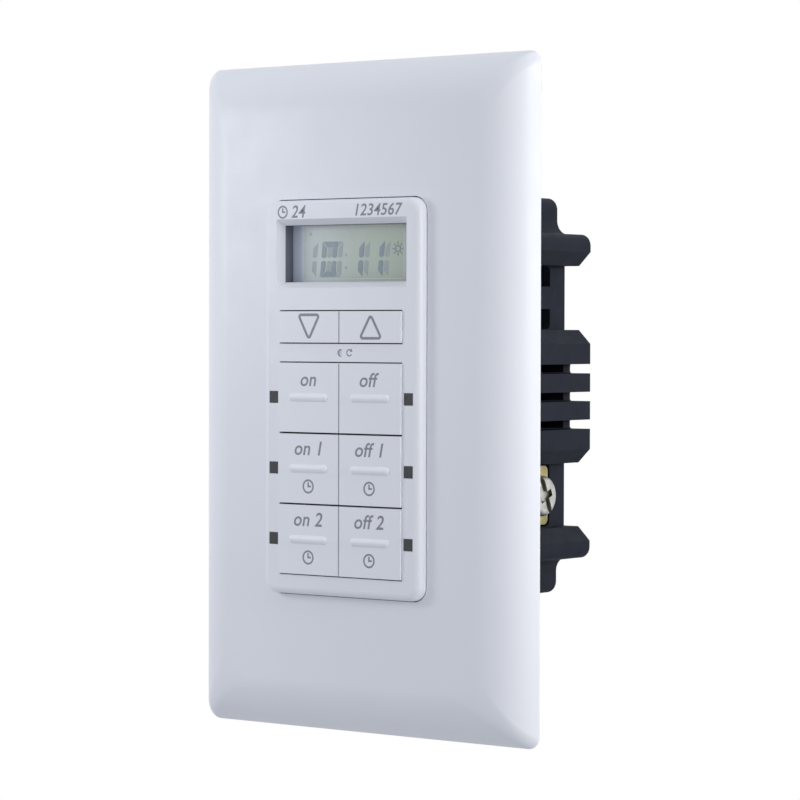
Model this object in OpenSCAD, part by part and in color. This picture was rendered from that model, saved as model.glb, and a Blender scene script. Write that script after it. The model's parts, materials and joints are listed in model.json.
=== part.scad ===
// Timer light switch with a clip-on wall plate.
// X runs to the right, Y into the wall and Z up. The wall's surface is y = 0, and the face looks towards -Y.
// The origin lies midway between the two box screw holes, on the strap's rear face.

/* [Wall plate] */
// Width of the wall plate
plate_w = 69.85; // [66:0.05:80]
// Height of the wall plate
plate_h = 113.5; // [110:0.1:125]
// How far the wall plate reaches past the strap's ends
plate_over = 4.65; // [4.4:0.05:8]
// How far the plate's face stands off the wall
plate_depth = 6.5; // [6:0.1:8]
// Thickness of the plate's wall
plate_wall = 2; // [1.6:0.1:2.4]
// Radius of the rolled edge
plate_roll_r = 9.4; // [8.6:0.1:11]
// Straight rim under the rolled edge
plate_edge = 0.4; // [0.3:0.1:1.5]
// Corner radius of the plate's outline
plate_corner_r = 2; // [1.5:0.1:4]
// Corner radius of the plate's inside
plate_inner_r = 0.8; // [0.4:0.1:2]
// Gap between the plate's opening and the bezel
opening_gap = 0.2; // [0.1:0.05:0.4]

/* [Sub plate] */
// Thickness of the sub-plate
sub_t = 2; // [1.6:0.1:2.2]
// Gap between the sub-plate and the inside of the wall plate
sub_gap = 0.3; // [0.2:0.1:0.6]
// Gap between the sub-plate's window and the bezel
sub_window_gap = 0.4; // [0.3:0.1:0.8]
// Diameter of the openings over the box screws
sub_access_d = 7.6; // [7.2:0.1:8]
// Diameter of the pads that carry the wall plate
sub_pad_d = 6; // [4:0.5:8]
// How far the pads lie inside the flat part of the wall plate's inner face
sub_pad_inset = 0.5; // [0.2:0.1:2]

/* [Bezel] */
// How far the bezel's face stands in front of the plate's face
bezel_proud = 1.9; // [1:0.1:2.5]
// Thickness of the bezel's walls
bezel_wall = 1.3; // [1.1:0.1:1.6]
// Corner radius of the bezel's outline
bezel_corner_r = 2.4; // [2:0.1:3]
// Rounding of the bezel's front edge
bezel_edge_r = 1.2; // [0.8:0.1:1.25]
// Bezel height above the display opening
top_margin = 4.2; // [3.9:0.1:5]
// Bezel height between the display opening and the arrow keys
display_strip = 4.9; // [4.6:0.1:6]
// Bezel height between the arrow keys and the first key row
reset_strip = 3.4; // [3.3:0.1:4.5]
// Bezel height below the last key row
bottom_margin = 3.5; // [3.3:0.1:4.5]
// Bezel width beside the keys
side_margin = 3.6; // [3.4:0.1:4.5]

/* [Keys] */
// Width of one key
key_w = 12.83; // [12:0.01:14]
// Height of an arrow key
arrow_key_h = 5.26; // [5.1:0.02:6]
// Gap between the two columns of keys
key_gap = 0.25; // [0.2:0.05:0.4]
// Gap between two rows of keys
row_gap = 0.3; // [0.2:0.05:0.4]
// Gap between the bezel and a key's outer side
key_play = 0.07; // [0.05:0.01:0.2]
// Gap between the bezel and the keys, above and below them
key_end_play = 0.2; // [0.1:0.01:0.3]
// How far a key's front stands in front of the bezel
key_proud = 0.35; // [0.3:0.05:0.8]
// Wall thickness of a key
key_wall = 1; // [0.8:0.1:1.1]
// Thickness of a key's retaining lips
key_lip_t = 0.8; // [0.6:0.1:0.9]
// How far a key's lips reach behind the bezel
key_lip = 0.7; // [0.5:0.1:0.8]
// Height of a key's lip
key_lip_h = 2.4; // [2:0.1:2.8]
// Diameter of a key's stem
key_stem_d = 3; // [2.6:0.1:3.2]
// Length of the raised bar on a big key
bar_w = 8.2; // [6:0.1:9.5]
// Height of the raised bar
bar_h = 1.4; // [1:0.1:2]
// How far the bar stands in front of its key
bar_proud = 0.4; // [0.3:0.05:0.6]
// Diameter of the reset hole
reset_hole_d = 1.3; // [1.2:0.1:1.8]
// How deep the reset pin's tip lies behind the face
reset_depth = 0.35; // [0.3:0.05:1.2]

/* [Display] */
// Width of the display opening
view_w = 25.7; // [24:0.1:26]
// Height of the display opening
view_h = 9.6; // [9:0.1:10.5]
// How far the sloped rim of the display opening spreads to the face
view_rim = 1; // [0.6:0.1:1.2]
// Depth of the display's glass behind the bezel's wall
display_recess = 2.1; // [1.5:0.1:2.4]
// Thickness of the display's glass
display_t = 1.8; // [1.4:0.1:2.2]
// How far the glass reaches behind the frame at the sides
display_lap_x = 1; // [0.8:0.1:1.1]
// How far the glass reaches behind the frame above and below
display_lap_z = 0.7; // [0.5:0.1:0.8]
// Wall of the display frame around the glass
display_wall = 0.6; // [0.5:0.1:0.7]
// Gap between the glass and its frame
display_gap = 0.1; // [0.05:0.05:0.15]
// Height of the rubber contact strips behind the glass
strip_depth = 1.6; // [1.2:0.1:2]
// Thickness of the rubber contact strips
strip_t = 1.2; // [1:0.1:1.5]

/* [Indicators] */
// Width of an indicator window
lamp_w = 1.8; // [1.6:0.05:1.9]
// Height of an indicator window
lamp_h = 1.95; // [1.7:0.05:2.3]
// Gap between a window and its hole
lamp_gap = 0.05; // [0.03:0.01:0.08]
// Distance from the key's edge to the indicator window
lamp_offset = 0.43; // [0.4:0.01:0.5]
// How far a window's shoulder reaches above and below its hole
lamp_shoulder = 0.6; // [0.4:0.1:0.8]
// Width of a lamp on the board
lamp_chip_w = 0.8; // [0.6:0.1:1]
// Height of a lamp on the board
lamp_chip_h = 1.6; // [1.2:0.1:2]
// How far a lamp stands off the board
lamp_chip_t = 0.6; // [0.4:0.1:0.8]

/* [Push switches] */
// Side of a push switch
switch_w = 4.8; // [4.2:0.1:5]
// Height of a push switch's body
switch_body_h = 3; // [2.6:0.1:3.2]
// How far a plunger stands out of its switch
plunger_out = 1; // [0.9:0.05:1.2]
// Diameter of a plunger
plunger_d = 3; // [2.4:0.1:3.4]
// Gap between a plunger and its switch
plunger_gap = 0.1; // [0.06:0.02:0.15]
// Travel of a key
key_travel = 0.7; // [0.4:0.05:0.75]
// Side of the reset switch
reset_switch_w = 3; // [2.6:0.1:3.2]
// Diameter of the reset pin
reset_pin_d = 1.1; // [0.8:0.1:1.1]

/* [Boards] */
// Thickness of the boards
board_t = 1.6; // [1.2:0.1:1.8]
// Gap between the key board and the strap's window
board_gap = 0.3; // [0.2:0.05:0.5]
// Diameter of the bosses that carry the key board
boss_d = 3; // [2.6:0.1:3.2]
// Distance of the bosses from the middle
boss_x = 11.3; // [10:0.1:12]
// Depth of the power board behind the strap
power_y = 10.5; // [9:0.5:12]
// Gap between the power board and the housing's walls
power_gap = 0.4; // [0.3:0.1:0.8]
// Side of the controller chip
chip_w = 10; // [7:0.5:12]
// Thickness of the controller chip
chip_t = 1.4; // [1:0.1:2]
// Width of the crystal's can
crystal_w = 11; // [9:0.5:12]
// Height of the crystal's can
crystal_h = 4.4; // [3.8:0.1:5]
// How far the crystal's can stands off the board
crystal_t = 3.5; // [2.5:0.1:4]
// Diameter of the backup cell
cell_d = 12.5; // [10:0.5:14]
// Thickness of the backup cell
cell_t = 2; // [1.6:0.1:2.6]
// Thickness of the clip over the backup cell
clip_t = 0.4; // [0.3:0.1:0.6]
// Length of the clip's feet
clip_foot = 2; // [1.5:0.1:3]
// Spacing of the pins between the boards
link_pitch = 2.54; // [2:0.02:3]
// Gap between neighbouring components on a board
part_gap = 2; // [1:0.1:3]
// Number of pins between the boards
link_count = 6; // [4:1:8]
// Side of a link pin
link_pin_w = 0.64; // [0.5:0.02:0.8]

/* [Strap] */
// Thickness of the steel strap
strap_t = 1.2; // [1:0.1:1.5]
// Distance of the strap's ends from the plate screws
strap_tip = 3.7; // [3.5:0.1:5]
// How far the strap's wide middle reaches past the ground tab
strap_end = 0.5; // [0.5:0.1:1.5]
// Width of the strap's ends
strap_ear_w = 24; // [20:0.5:28]
// Corner radius of the strap
strap_corner_r = 2; // [1:0.5:3]
// How far the strap reaches past the inside of the bezel's wall
strap_lap = 0.15; // [0.1:0.05:0.25]
// Distance of the box screw holes from the bezel's edge
box_hole_rise = 8.42; // [8:0.01:9]
// Diameter of the box screw holes
box_hole_d = 4.4; // [4:0.1:4.8]
// Distance of the plate screws from the box screw holes
plate_screw_step = 6.75; // [6.6:0.05:7.5]
// Length of the ground tab behind the strap
tab_len = 10; // [9:0.5:13]
// Width of the ground tab
tab_h = 7.5; // [7:0.5:8]
// Gap between the ground tab and the housing's tail
tab_gap = 2.2; // [1.8:0.1:2.6]
// Gap between the ground tab and the housing's ear
tab_ear_gap = 1; // [0.5:0.1:1.5]
// How far the strap's edge lies inside the housing's
strap_inset = 0.2; // [0.1:0.1:0.5]

/* [Snap hooks] */
// Thickness of a hook's leg
hook_t = 1.1; // [0.9:0.1:1.2]
// Width of a hook
hook_w = 2.4; // [2:0.1:2.6]
// Gap between a hook's leg and the strap
hook_gap = 0.15; // [0.1:0.05:0.25]
// How far a hook catches behind the strap
hook_catch = 0.45; // [0.3:0.05:0.6]
// Height of a hook's barb
hook_barb = 1.2; // [1:0.1:1.6]
// Room around a hook in the board and in the housing
hook_room = 0.3; // [0.2:0.05:0.35]
// Distance of the lower hooks from the middle
hook_x = 7; // [5:0.5:9]

/* [Rear housing] */
// Width of the housing over its ears
housing_w = 44.4; // [43:0.1:46]
// Depth of the housing behind the strap
housing_depth = 33.3; // [32:0.1:38]
// Wall thickness of the housing
housing_wall = 1.8; // [1.6:0.1:2.1]
// How far the housing reaches above and below the bezel
tail_over = 1.2; // [1:0.1:2]
// How far the ears reach past the tails at the sides
tail_step = 7; // [6.6:0.1:7.4]
// Length of a tail past its ears
tail_len = 6.43; // [6:0.01:8]
// Corner radius of the tails
tail_r = 2.1; // [1:0.1:2.5]
// Radius of the hollow between a tail and its ear
tail_fillet_r = 2.5; // [1:0.1:2.8]
// Height of a wire bay
bay_h = 11.05; // [10.5:0.05:12]
// Depth of a wire bay
bay_depth = 5.4; // [5:0.1:5.6]
// Height of an ear
ear_h = 5.45; // [5.2:0.05:6]
// Rounding of an ear's outer corner
ear_r = 2; // [1:0.1:2.4]
// Slope cut at the mouth of a wire bay
bay_slope = 2.4; // [1.5:0.1:2.6]
// Depth of the slots between the fins
slot_depth = 4.2; // [3.5:0.1:4.8]
// Rounding at the bottom of a slot
slot_r = 0.4; // [0.2:0.05:0.5]
// Height of a slot
slot_h = 1.6; // [1.2:0.1:2]
// Spacing of the slots
slot_pitch = 4.8; // [4.2:0.1:5.2]
// How much lower than its slot a vent through the slot's bottom is
vent_edge = 0.3; // [0.2:0.05:0.5]
// Depth at which the vents start
vent_y = 14; // [13:0.5:20]
// Length of the vents in the right side
vent_len = 17.2; // [8:0.1:17.5]
// Length of the vents in the left side
left_vent_len = 13.2; // [8:0.1:15]
// Width of the label's recess in the rear face
label_w = 26; // [15:0.5:30]
// Height of the label's recess
label_h = 44; // [20:0.5:50]
// Corner radius of the label's recess
label_r = 1.5; // [0.5:0.1:3]
// Depth of the label's recess
label_sink = 0.3; // [0.2:0.05:0.6]
// Length of the strip gauge, the groove that shows how much of a wire to bare
gauge_len = 12.7; // [9:0.1:15]
// Width of the strip gauge
gauge_w = 2.4; // [2:0.1:3]
// Corner radius of the strip gauge
gauge_r = 0.9; // [0.3:0.1:0.95]
// Depth of the strip gauge
gauge_depth = 0.8; // [0.4:0.1:1]
// Distance of the strip gauge from the housing's lower end
gauge_up = 6.5; // [4:0.5:9]
// Diameter of the posts that carry the power board
post_d = 4.6; // [4:0.1:5]
// Distance of the housing screws from the ears' outer edges
screw_inset = 3.2; // [3:0.1:3.6]
// Depth at which the wells of the housing screws start
well_y = 9; // [7:0.5:14]

/* [Terminals] */
// Distance of the bay windows from the housing's rear
window_inset = 4.5; // [4:0.1:6]
// Length of a bay window
window_len = 9.6; // [9:0.1:11]
// Height of the bar across an unused bay's window
window_bar = 3.9; // [3:0.1:4.5]
// Gap between a bay window and the bay's walls
window_edge = 0.05; // [0.02:0.01:0.3]
// Corner radius of a bay window
window_r = 1; // [0.6:0.1:1.4]
// Thickness of a terminal plate
brass_t = 1.2; // [1:0.1:1.6]
// How far a terminal plate reaches past its window at the rear, and above and below it
brass_lap = 0.6; // [0.3:0.1:1]
// Length of a terminal plate's seat inside the wall
brass_seat = 4; // [3:0.5:4.5]
// Width of a terminal plate's solder tab
brass_tab_w = 4; // [3:0.5:5]
// Gap between a terminal plate's raised pad and the window around it
pad_gap = 0.4; // [0.15:0.05:0.5]
// How far a raised pad ends short of the bay's floor
pad_sink = 0.1; // [0.05:0.05:0.3]
// Distance of a terminal screw from its window's rear edge
terminal_screw_inset = 4.5; // [4.4:0.1:5.3]

/* [Screws] */
// Terminal and ground screws: head diameter
terminal_head_d = 7; // [6.4:0.1:7.2]
// Terminal and ground screws: head height
terminal_head_t = 1.9; // [1.6:0.1:2.2]
// Terminal and ground screws: thread diameter
terminal_thread_d = 3.5; // [3:0.1:4]
// Gap under a terminal screw's head
terminal_grip = 0.6; // [0.1:0.1:0.8]
// Plate screws: head diameter
plate_head_d = 6.4; // [5.8:0.1:7]
// Plate screws: head height
plate_head_t = 1.1; // [0.9:0.1:1.3]
// Plate screws: thread diameter
plate_thread_d = 3.5; // [3:0.1:3.6]
// Housing screws: head diameter
housing_head_d = 3.6; // [3.2:0.1:3.8]
// Housing screws: head height
housing_head_t = 1.4; // [1.2:0.1:2]
// Housing screws: thread diameter
housing_thread_d = 2.2; // [2:0.1:2.5]
// Board screws: head diameter
board_head_d = 2.8; // [2.6:0.1:3.4]
// Board screws: head height
board_head_t = 1; // [0.8:0.1:1.2]
// Board screws: thread diameter
board_thread_d = 1.6; // [1.4:0.1:1.8]
// Length of a board screw under its head
board_thread_len = 4.4; // [3.8:0.1:4.8]
// Gap between a thread and its hole
thread_gap = 0.05; // [0.03:0.01:0.1]
// Gap between a screw's head and its well
head_gap = 0.2; // [0.1:0.05:0.3]
// Width of the slots in the screw heads, as a share of a head's diameter
drive_share = 0.18; // [0.15:0.01:0.22]
// Depth of the slots in the screw heads
drive_depth = 0.7; // [0.5:0.1:0.8]
// Turn of the slots in the terminal and ground screws, in degrees
drive_turn = 23; // [0:1:90]
// Rounding of a terminal or ground screw's head
terminal_round = 1; // [0.6:0.1:1.2]
// Rounding of the other screws' heads
head_round = 0.4; // [0.2:0.1:0.6]
// How far the terminal and ground screws reach past their threads
screw_past = 1; // [0.5:0.1:1.5]

/* [Relay] */
// Width of the relay's cover
relay_w = 15.4; // [15:0.1:17]
// Height of the relay's cover
relay_h = 19; // [18.6:0.1:21]
// How far the relay's cover stands off the board
relay_t = 15.4; // [15:0.1:17]
// Wall of the relay's cover
relay_wall = 0.8; // [0.6:0.1:1]
// Gap between the relay's cover and its base
relay_gap = 0.05; // [0.03:0.01:0.1]
// Thickness of the relay's base
relay_base_t = 1.5; // [1.2:0.1:2]
// Thickness of the relay's yoke and armature
iron_t = 1; // [0.8:0.1:1.2]
// Width of the relay's yoke and armature
iron_w = 8; // [6:0.5:9]
// Diameter of the relay's coil
coil_d = 9.6; // [8:0.2:10.4]
// Diameter of the relay's core
core_d = 3.6; // [3:0.1:4]
// Height of the yoke's leg
yoke_leg = 10.5; // [9.5:0.1:11]
// Gap between the core and the open armature
armature_gap = 0.7; // [0.65:0.05:0.9]
// Closing angle of the armature
armature_angle = 4; // [3:0.1:4.2]
// Diameter of the relay's contacts
contact_d = 2.2; // [1.6:0.1:2.6]
// Height of one relay contact
contact_t = 0.5; // [0.3:0.1:0.7]
// Gap between the relay's contacts when closed
contact_gap = 0.1; // [0.06:0.02:0.15]
// Room between the relay's yoke and its cover
yoke_room = 2.2; // [2:0.1:2.4]
// Room between the relay's coil and its yoke
coil_room = 0.7; // [0.4:0.1:1]
// Room between the relay's coil and its contacts
contact_room = 1.1; // [0.8:0.1:1.2]
// Rim of a contact's carrier around the contact
contact_rim = 0.2; // [0.1:0.05:0.3]

/* [Other components] */
// Width of the film capacitor
film_w = 17; // [13:0.5:19]
// Height of the film capacitor
film_h = 6; // [4:0.5:7]
// How far the film capacitor stands off the board
film_t = 12; // [9:0.5:15]
// Diameter of the electrolytic capacitor
electrolytic_d = 8; // [6:0.5:9]
// Height of the electrolytic capacitor
electrolytic_h = 12; // [9:0.5:15]
// Diameter of the varistor
varistor_d = 9; // [7:0.5:9.5]
// Thickness of the varistor
varistor_t = 4; // [3:0.5:5]
// Length of the varistor's leads
varistor_lead = 3; // [2:0.5:4]
// Diameter of the component leads
lead_d = 0.8; // [0.6:0.1:1]

/* [Hidden] */
$fn = 64;
// how far a cut runs past the surface it opens
past = 1;
// how far joined shapes run into each other
into = 0.2;
sides = [-1, 1];

// Depths, from the front to the rear
face_y = -(plate_depth + bezel_proud);
bezel_in_y = face_y + bezel_wall;
key_front_y = face_y - key_proud;
key_back_y = bezel_in_y + key_lip_t;
display_y = bezel_in_y + display_recess;
strip_y = display_y + display_t;
board_y = strip_y + strip_depth;
board_back_y = board_y + board_t;
switch_y = board_y - switch_body_h;
plunger_y = switch_y - plunger_out;
plunger_len = plunger_out + switch_body_h / 2 - key_travel / 2;
reset_tip_y = face_y + reset_depth;
strap_y = -strap_t;
sub_y = strap_y - sub_t;
plate_in_y = -(plate_depth - plate_wall);
power_back_y = power_y + board_t;
housing_in_y = housing_depth - housing_wall;

// From the wall plate's ends inwards to the bezel's
strap_end_z = plate_h / 2 - plate_over;
plate_screw_z = strap_end_z - strap_tip;
box_hole_z = plate_screw_z - plate_screw_step;
bezel_h = 2 * (box_hole_z - box_hole_rise);

// Sizes of the bezel and the keys: the key rows fill what the rest of the bezel leaves
keys_w = 2 * key_w + key_gap;
bezel_w = keys_w + 2 * side_margin;
rows_h = bezel_h - top_margin - view_h - display_strip - arrow_key_h - reset_strip - bottom_margin;
key_h = (rows_h - 2 * row_gap) / 3;

// Heights of what the bezel holds
view_z = bezel_h / 2 - top_margin - view_h / 2;
arrow_z = view_z - view_h / 2 - display_strip - arrow_key_h / 2;
reset_z = arrow_z - arrow_key_h / 2 - reset_strip / 2;
row_top_z = reset_z - reset_strip / 2;
key_x = (key_w + key_gap) / 2;
lamp_x = keys_w / 2 + lamp_offset + lamp_w / 2;
row_z = [for (row = [0:2]) row_top_z - key_h / 2 - row * (key_h + row_gap)];
bar_r = (bar_h * bar_h / 4 + bar_proud * bar_proud) / (2 * bar_proud);

// Display
glass_w = view_w + 2 * display_lap_x;
glass_h = view_h + 2 * display_lap_z;
display_frame_w = glass_w + 2 * (display_gap + display_wall);
display_frame_h = glass_h + 2 * (display_gap + display_wall);

// Strap
window_w = bezel_w - 2 * (bezel_wall + strap_lap);
window_h = bezel_h - 2 * (bezel_wall + strap_lap);
strap_w = housing_w - 2 * strap_inset;
board_w = window_w - 2 * board_gap;
board_h = window_h - 2 * board_gap;
hook_z = (arrow_z + arrow_key_h / 2 + view_z - display_frame_h / 2) / 2;

// Housing
housing_h = bezel_h + 2 * tail_over;
tail_w = housing_w - 2 * tail_step;
bay_floor_x = housing_w / 2 - bay_depth;
inner_x = bay_floor_x - housing_wall;
inner_tail_x = tail_w / 2 - housing_wall;
inner_z = housing_h / 2 - housing_wall;
ear_top_z = housing_h / 2 - tail_len;
ear_low_z = ear_top_z - ear_h;
fin_block_h = 2 * (ear_low_z - bay_h);
inner_ear_z = ear_top_z - housing_wall;
bay_z = ear_low_z - bay_h / 2;
post_x = inner_tail_x - post_d / 2;
post_z = inner_z - post_d / 2;
screw_x = housing_w / 2 - screw_inset;
screw_z = ear_low_z + ear_h / 2;

// Terminals: each has a side and a bay
terminal_bays = [[1, -1], [-1, 1], [-1, -1]];
window_back_y = housing_depth - window_inset;
window_front_y = window_back_y - window_len;
brass_back_y = window_back_y + brass_lap;
brass_h = bay_h - 2 * window_edge + 2 * brass_lap;
brass_front_y = window_front_y - brass_seat;
terminal_screw_y = window_back_y - terminal_screw_inset;

// Ground tab, beside the lower left tail
tab_x = -(tail_w / 2 + tab_gap);
tab_z = -(ear_top_z + tab_ear_gap + tab_h / 2);
strap_body_h = 2 * (tab_h / 2 - tab_z + strap_end);

// Relay
relay_iron_y = power_back_y + relay_base_t;
yoke_top_y = relay_iron_y + yoke_leg;
yoke_out_z = relay_h / 2 - relay_wall - yoke_room;
hinge_z = yoke_out_z - iron_t;
core_z = hinge_z - coil_room - coil_d / 2;
contact_z = core_z - coil_d / 2 - contact_room - contact_d / 2;
armature_tip_z = contact_z - contact_d / 2 - contact_rim;
contact_drop = (hinge_z - contact_z + contact_d / 2) * sin(armature_angle);

// Parts on the rear of the key board, one below the other
chip_z = arrow_z;
crystal_z = chip_z - (chip_w + crystal_h) / 2 - part_gap;
cell_z = crystal_z - (crystal_h + cell_d) / 2 - part_gap;
link_z = chip_z + (chip_w + link_pitch) / 2 + part_gap;
link_x = [for (i = [0:link_count - 1]) (i - (link_count - 1) / 2) * link_pitch];

// Parts beside the relay on the power board
film_z = (relay_h + film_h) / 2 + part_gap;
electrolytic_z = -(relay_h + electrolytic_d) / 2 - part_gap;
electrolytic_x = -(electrolytic_d + part_gap) / 2;
varistor_x = (varistor_t + part_gap) / 2;

// The inside of the wall plate at the sub-plate's front face
sub_w = 2 * (roll_half(plate_w - 2 * plate_wall, plate_depth - plate_wall, plate_edge,
                       plate_roll_r - plate_wall, sub_y) - sub_gap);
sub_h = sub_w + plate_h - plate_w;
pad_x = roll_middle(plate_w - 2 * plate_wall, plate_depth - plate_wall, plate_edge, plate_roll_r - plate_wall)
    - sub_pad_inset - sub_pad_d / 2;
pad_z = pad_x + (plate_h - plate_w) / 2;

// Extrude an outline drawn in X and Z from one depth to another
module along_y(y0, y1) {
    translate([0, y1, 0])
        rotate([90, 0, 0])
            linear_extrude(y1 - y0) children();
}

// Extrude an outline drawn in Z and Y from one side to the other
module along_x(x0, x1) {
    translate([x1, 0, 0])
        rotate([0, -90, 0])
            linear_extrude(x1 - x0) children();
}

// Extrude an outline drawn in X and Y from one height to another
module along_z(z0, z1) {
    translate([0, 0, z0])
        linear_extrude(z1 - z0) children();
}

// A round rod along Y
module rod_y(x, z, y0, y1, d) {
    along_y(y0, y1)
        translate([x, z]) circle(d = d);
}

// A block given by its middle in X and Z, its sizes and its depths
module block_y(x, z, w, h, y0, y1) {
    translate([x - w / 2, y0, z - h / 2])
        cube([w, y1 - y0, h]);
}

module rounded_rect(w, h, r) {
    square([w - 2 * r, h], center = true);
    square([w, h - 2 * r], center = true);
    for (sx = sides, sz = sides)
        translate([sx * (w / 2 - r), sz * (h / 2 - r)]) circle(r);
}

// A slot across a screw's head and a shorter one across it, sunk from the head's top at z = 0
module drive_cut(head_d) {
    w = head_d * drive_share;
    for (arm = [[head_d + 2 * past, w], [w, head_d / 2]])
        translate([-arm[0] / 2, -arm[1] / 2, -drive_depth])
            cube([arm[0], arm[1], drive_depth + past]);
}

// A pan-head screw along -Z with its head's top at z = 0
module screw(head_d, head_t, thread_d, thread_len, round_r = head_round) {
    difference() {
        union() {
            translate([0, 0, -head_t])
                rotate_extrude() {
                    square([head_d / 2, head_t - round_r]);
                    square([head_d / 2 - round_r, head_t]);
                    translate([head_d / 2 - round_r, head_t - round_r])
                        intersection() {
                            circle(round_r);
                            square(round_r);
                        }
                }
            translate([0, 0, -head_t - thread_len]) cylinder(d = thread_d, h = thread_len + into);
        }
        drive_cut(head_d);
    }
}

// Half the width of a rolled section at one depth
function roll_middle(w, depth, edge, r) = w / 2 - sqrt(r * r - pow(r - depth + edge, 2));
function roll_half(w, depth, edge, r, y) =
    roll_middle(w, depth, edge, r) + sqrt(r * r - pow(y - (r - depth), 2));

// Section of a plate with rolled edges, run past the wall's surface by some depth
module roll_section(w, depth, edge, r, below) {
    middle = roll_middle(w, depth, edge, r);
    intersection() {
        translate([-w / 2, -depth]) square([w, depth + below]);
        union() {
            translate([-middle, -depth]) square([2 * middle, depth + below]);
            for (side = sides)
                translate([side * middle, r - depth]) circle(r);
        }
    }
}

// A plate with rolled edges on all sides and rounded corners
module rolled_plate(w, h, depth, edge, r, corner_r, below) {
    intersection() {
        along_z(-h / 2, h / 2) roll_section(w, depth, edge, r, below);
        along_x(-w / 2, w / 2) roll_section(h, depth, edge, r, below);
        along_y(-depth, below) rounded_rect(w, h, corner_r);
    }
}

module wall_plate() {
    color("white")
    difference() {
        rolled_plate(plate_w, plate_h, plate_depth, plate_edge, plate_roll_r, plate_corner_r, 0);
        rolled_plate(plate_w - 2 * plate_wall, plate_h - 2 * plate_wall, plate_depth - plate_wall,
                     plate_edge, plate_roll_r - plate_wall, plate_inner_r, past);
        along_y(-plate_depth - past, 0)
            rounded_rect(bezel_w + 2 * opening_gap, bezel_h + 2 * opening_gap, bezel_corner_r + opening_gap);
    }
}

module sub_plate() {
    color("gainsboro")
    difference() {
        union() {
            along_y(sub_y, strap_y) rounded_rect(sub_w, sub_h, plate_corner_r);
            for (sx = sides, sz = sides)
                rod_y(sx * pad_x, sz * pad_z, plate_in_y, strap_y, sub_pad_d);
        }
        along_y(sub_y - past, strap_y + past)
            rounded_rect(bezel_w + 2 * sub_window_gap, bezel_h + 2 * sub_window_gap,
                         bezel_corner_r + sub_window_gap);
        for (sz = sides) {
            rod_y(0, sz * box_hole_z, sub_y - past, strap_y + past, sub_access_d);
            rod_y(0, sz * plate_screw_z, sub_y - past, strap_y + past,
                  plate_thread_d + 2 * head_gap);
            rod_y(0, sz * plate_screw_z, sub_y - past, sub_y + plate_head_t,
                  plate_head_d + 2 * head_gap);
        }
    }
}

module plate_screws() {
    color("silver")
    for (sz = sides)
        translate([0, sub_y, sz * plate_screw_z])
            rotate([90, 0, 0])
                screw(plate_head_d, plate_head_t, plate_thread_d, sub_t - plate_head_t + strap_t);
}

module mounting_strap() {
    color("lightsteelblue")
    difference() {
        union() {
            along_y(strap_y, 0) {
                rounded_rect(strap_w, strap_body_h, strap_corner_r);
                rounded_rect(strap_ear_w, 2 * strap_end_z, strap_corner_r);
            }
            translate([tab_x - strap_t, strap_y, tab_z - tab_h / 2])
                cube([strap_t, strap_t + tab_len, tab_h]);
        }
        along_y(strap_y - past, past)
            square([window_w, window_h], center = true);
        for (sz = sides) {
            rod_y(0, sz * box_hole_z, strap_y - past, past, box_hole_d);
            rod_y(0, sz * plate_screw_z, strap_y - past, past, plate_thread_d + 2 * thread_gap);
            for (sx = sides)
                rod_y(sx * screw_x, sz * screw_z, strap_y - past, past, housing_thread_d + 2 * thread_gap);
        }
        translate([tab_x - strap_t - past, tab_len / 2, tab_z])
            rotate([0, 90, 0])
                cylinder(d = terminal_thread_d + 2 * thread_gap, h = strap_t + 2 * past);
    }
}

module ground_screw() {
    color("seagreen")
    translate([tab_x - strap_t - terminal_grip - terminal_head_t, tab_len / 2, tab_z])
        rotate([0, -90, 0])
            rotate([0, 0, drive_turn])
                screw(terminal_head_d, terminal_head_t, terminal_thread_d,
                      terminal_grip + strap_t + screw_past, terminal_round);
}

// Section of a block with its two front corners rounded, from its front to its rear
module front_rounded(w, r, front_y, back_y) {
    translate([-w / 2, front_y + r]) square([w, back_y - front_y - r]);
    translate([-w / 2 + r, front_y]) square([w - 2 * r, back_y - front_y]);
    for (side = sides)
        translate([side * (w / 2 - r), front_y + r]) circle(r);
}

// The bezel's outer block, rounded at its corners and along its front edge
module bezel_block() {
    reach_x = bezel_w / 2 - bezel_corner_r;
    reach_z = bezel_h / 2 - bezel_corner_r;
    along_z(-reach_z, reach_z) front_rounded(bezel_w, bezel_edge_r, face_y, strap_y);
    along_x(-reach_x, reach_x) front_rounded(bezel_h, bezel_edge_r, face_y, strap_y);
    for (sx = sides, sz = sides)
        translate([sx * reach_x, 0, sz * reach_z])
            rotate([-90, 0, 0])
                rotate_extrude()
                    intersection() {
                        front_rounded(2 * bezel_corner_r, bezel_edge_r, face_y, strap_y);
                        translate([0, face_y - past])
                            square([bezel_corner_r + past, strap_y - face_y + 2 * past]);
                    }
}

// Section of the display opening: straight inside, with a sloped rim that opens to the face
module view_section(size) {
    inner = size / 2;
    outer = inner + view_rim;
    slope = view_rim / bezel_wall;
    polygon([
        [-inner, bezel_in_y + past], [inner, bezel_in_y + past], [inner, bezel_in_y],
        [outer + slope * past, face_y - past], [-outer - slope * past, face_y - past], [-inner, bezel_in_y]
    ]);
}

module view_cut() {
    span = view_w + view_h;
    intersection() {
        along_z(view_z - span, view_z + span) view_section(view_w);
        translate([0, 0, view_z])
            along_x(-span, span) view_section(view_h);
    }
}

// A snap hook whose leg runs along the strap's window edge, at x = 0, with the window on the -X side
module hook() {
    leg = [-hook_gap - hook_t, -hook_gap];
    wall = strap_lap + into;
    root_y = strap_y - hook_gap;
    along_z(-hook_w / 2, hook_w / 2)
        polygon([
            [leg[0], bezel_in_y - into], [wall, bezel_in_y - into], [wall, root_y], [leg[1], root_y],
            [leg[1], 0], [hook_catch, 0], [hook_catch, hook_barb / 4],
            [leg[1] - hook_t / 4, hook_barb], [leg[0], hook_barb]
        ]);
}

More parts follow.
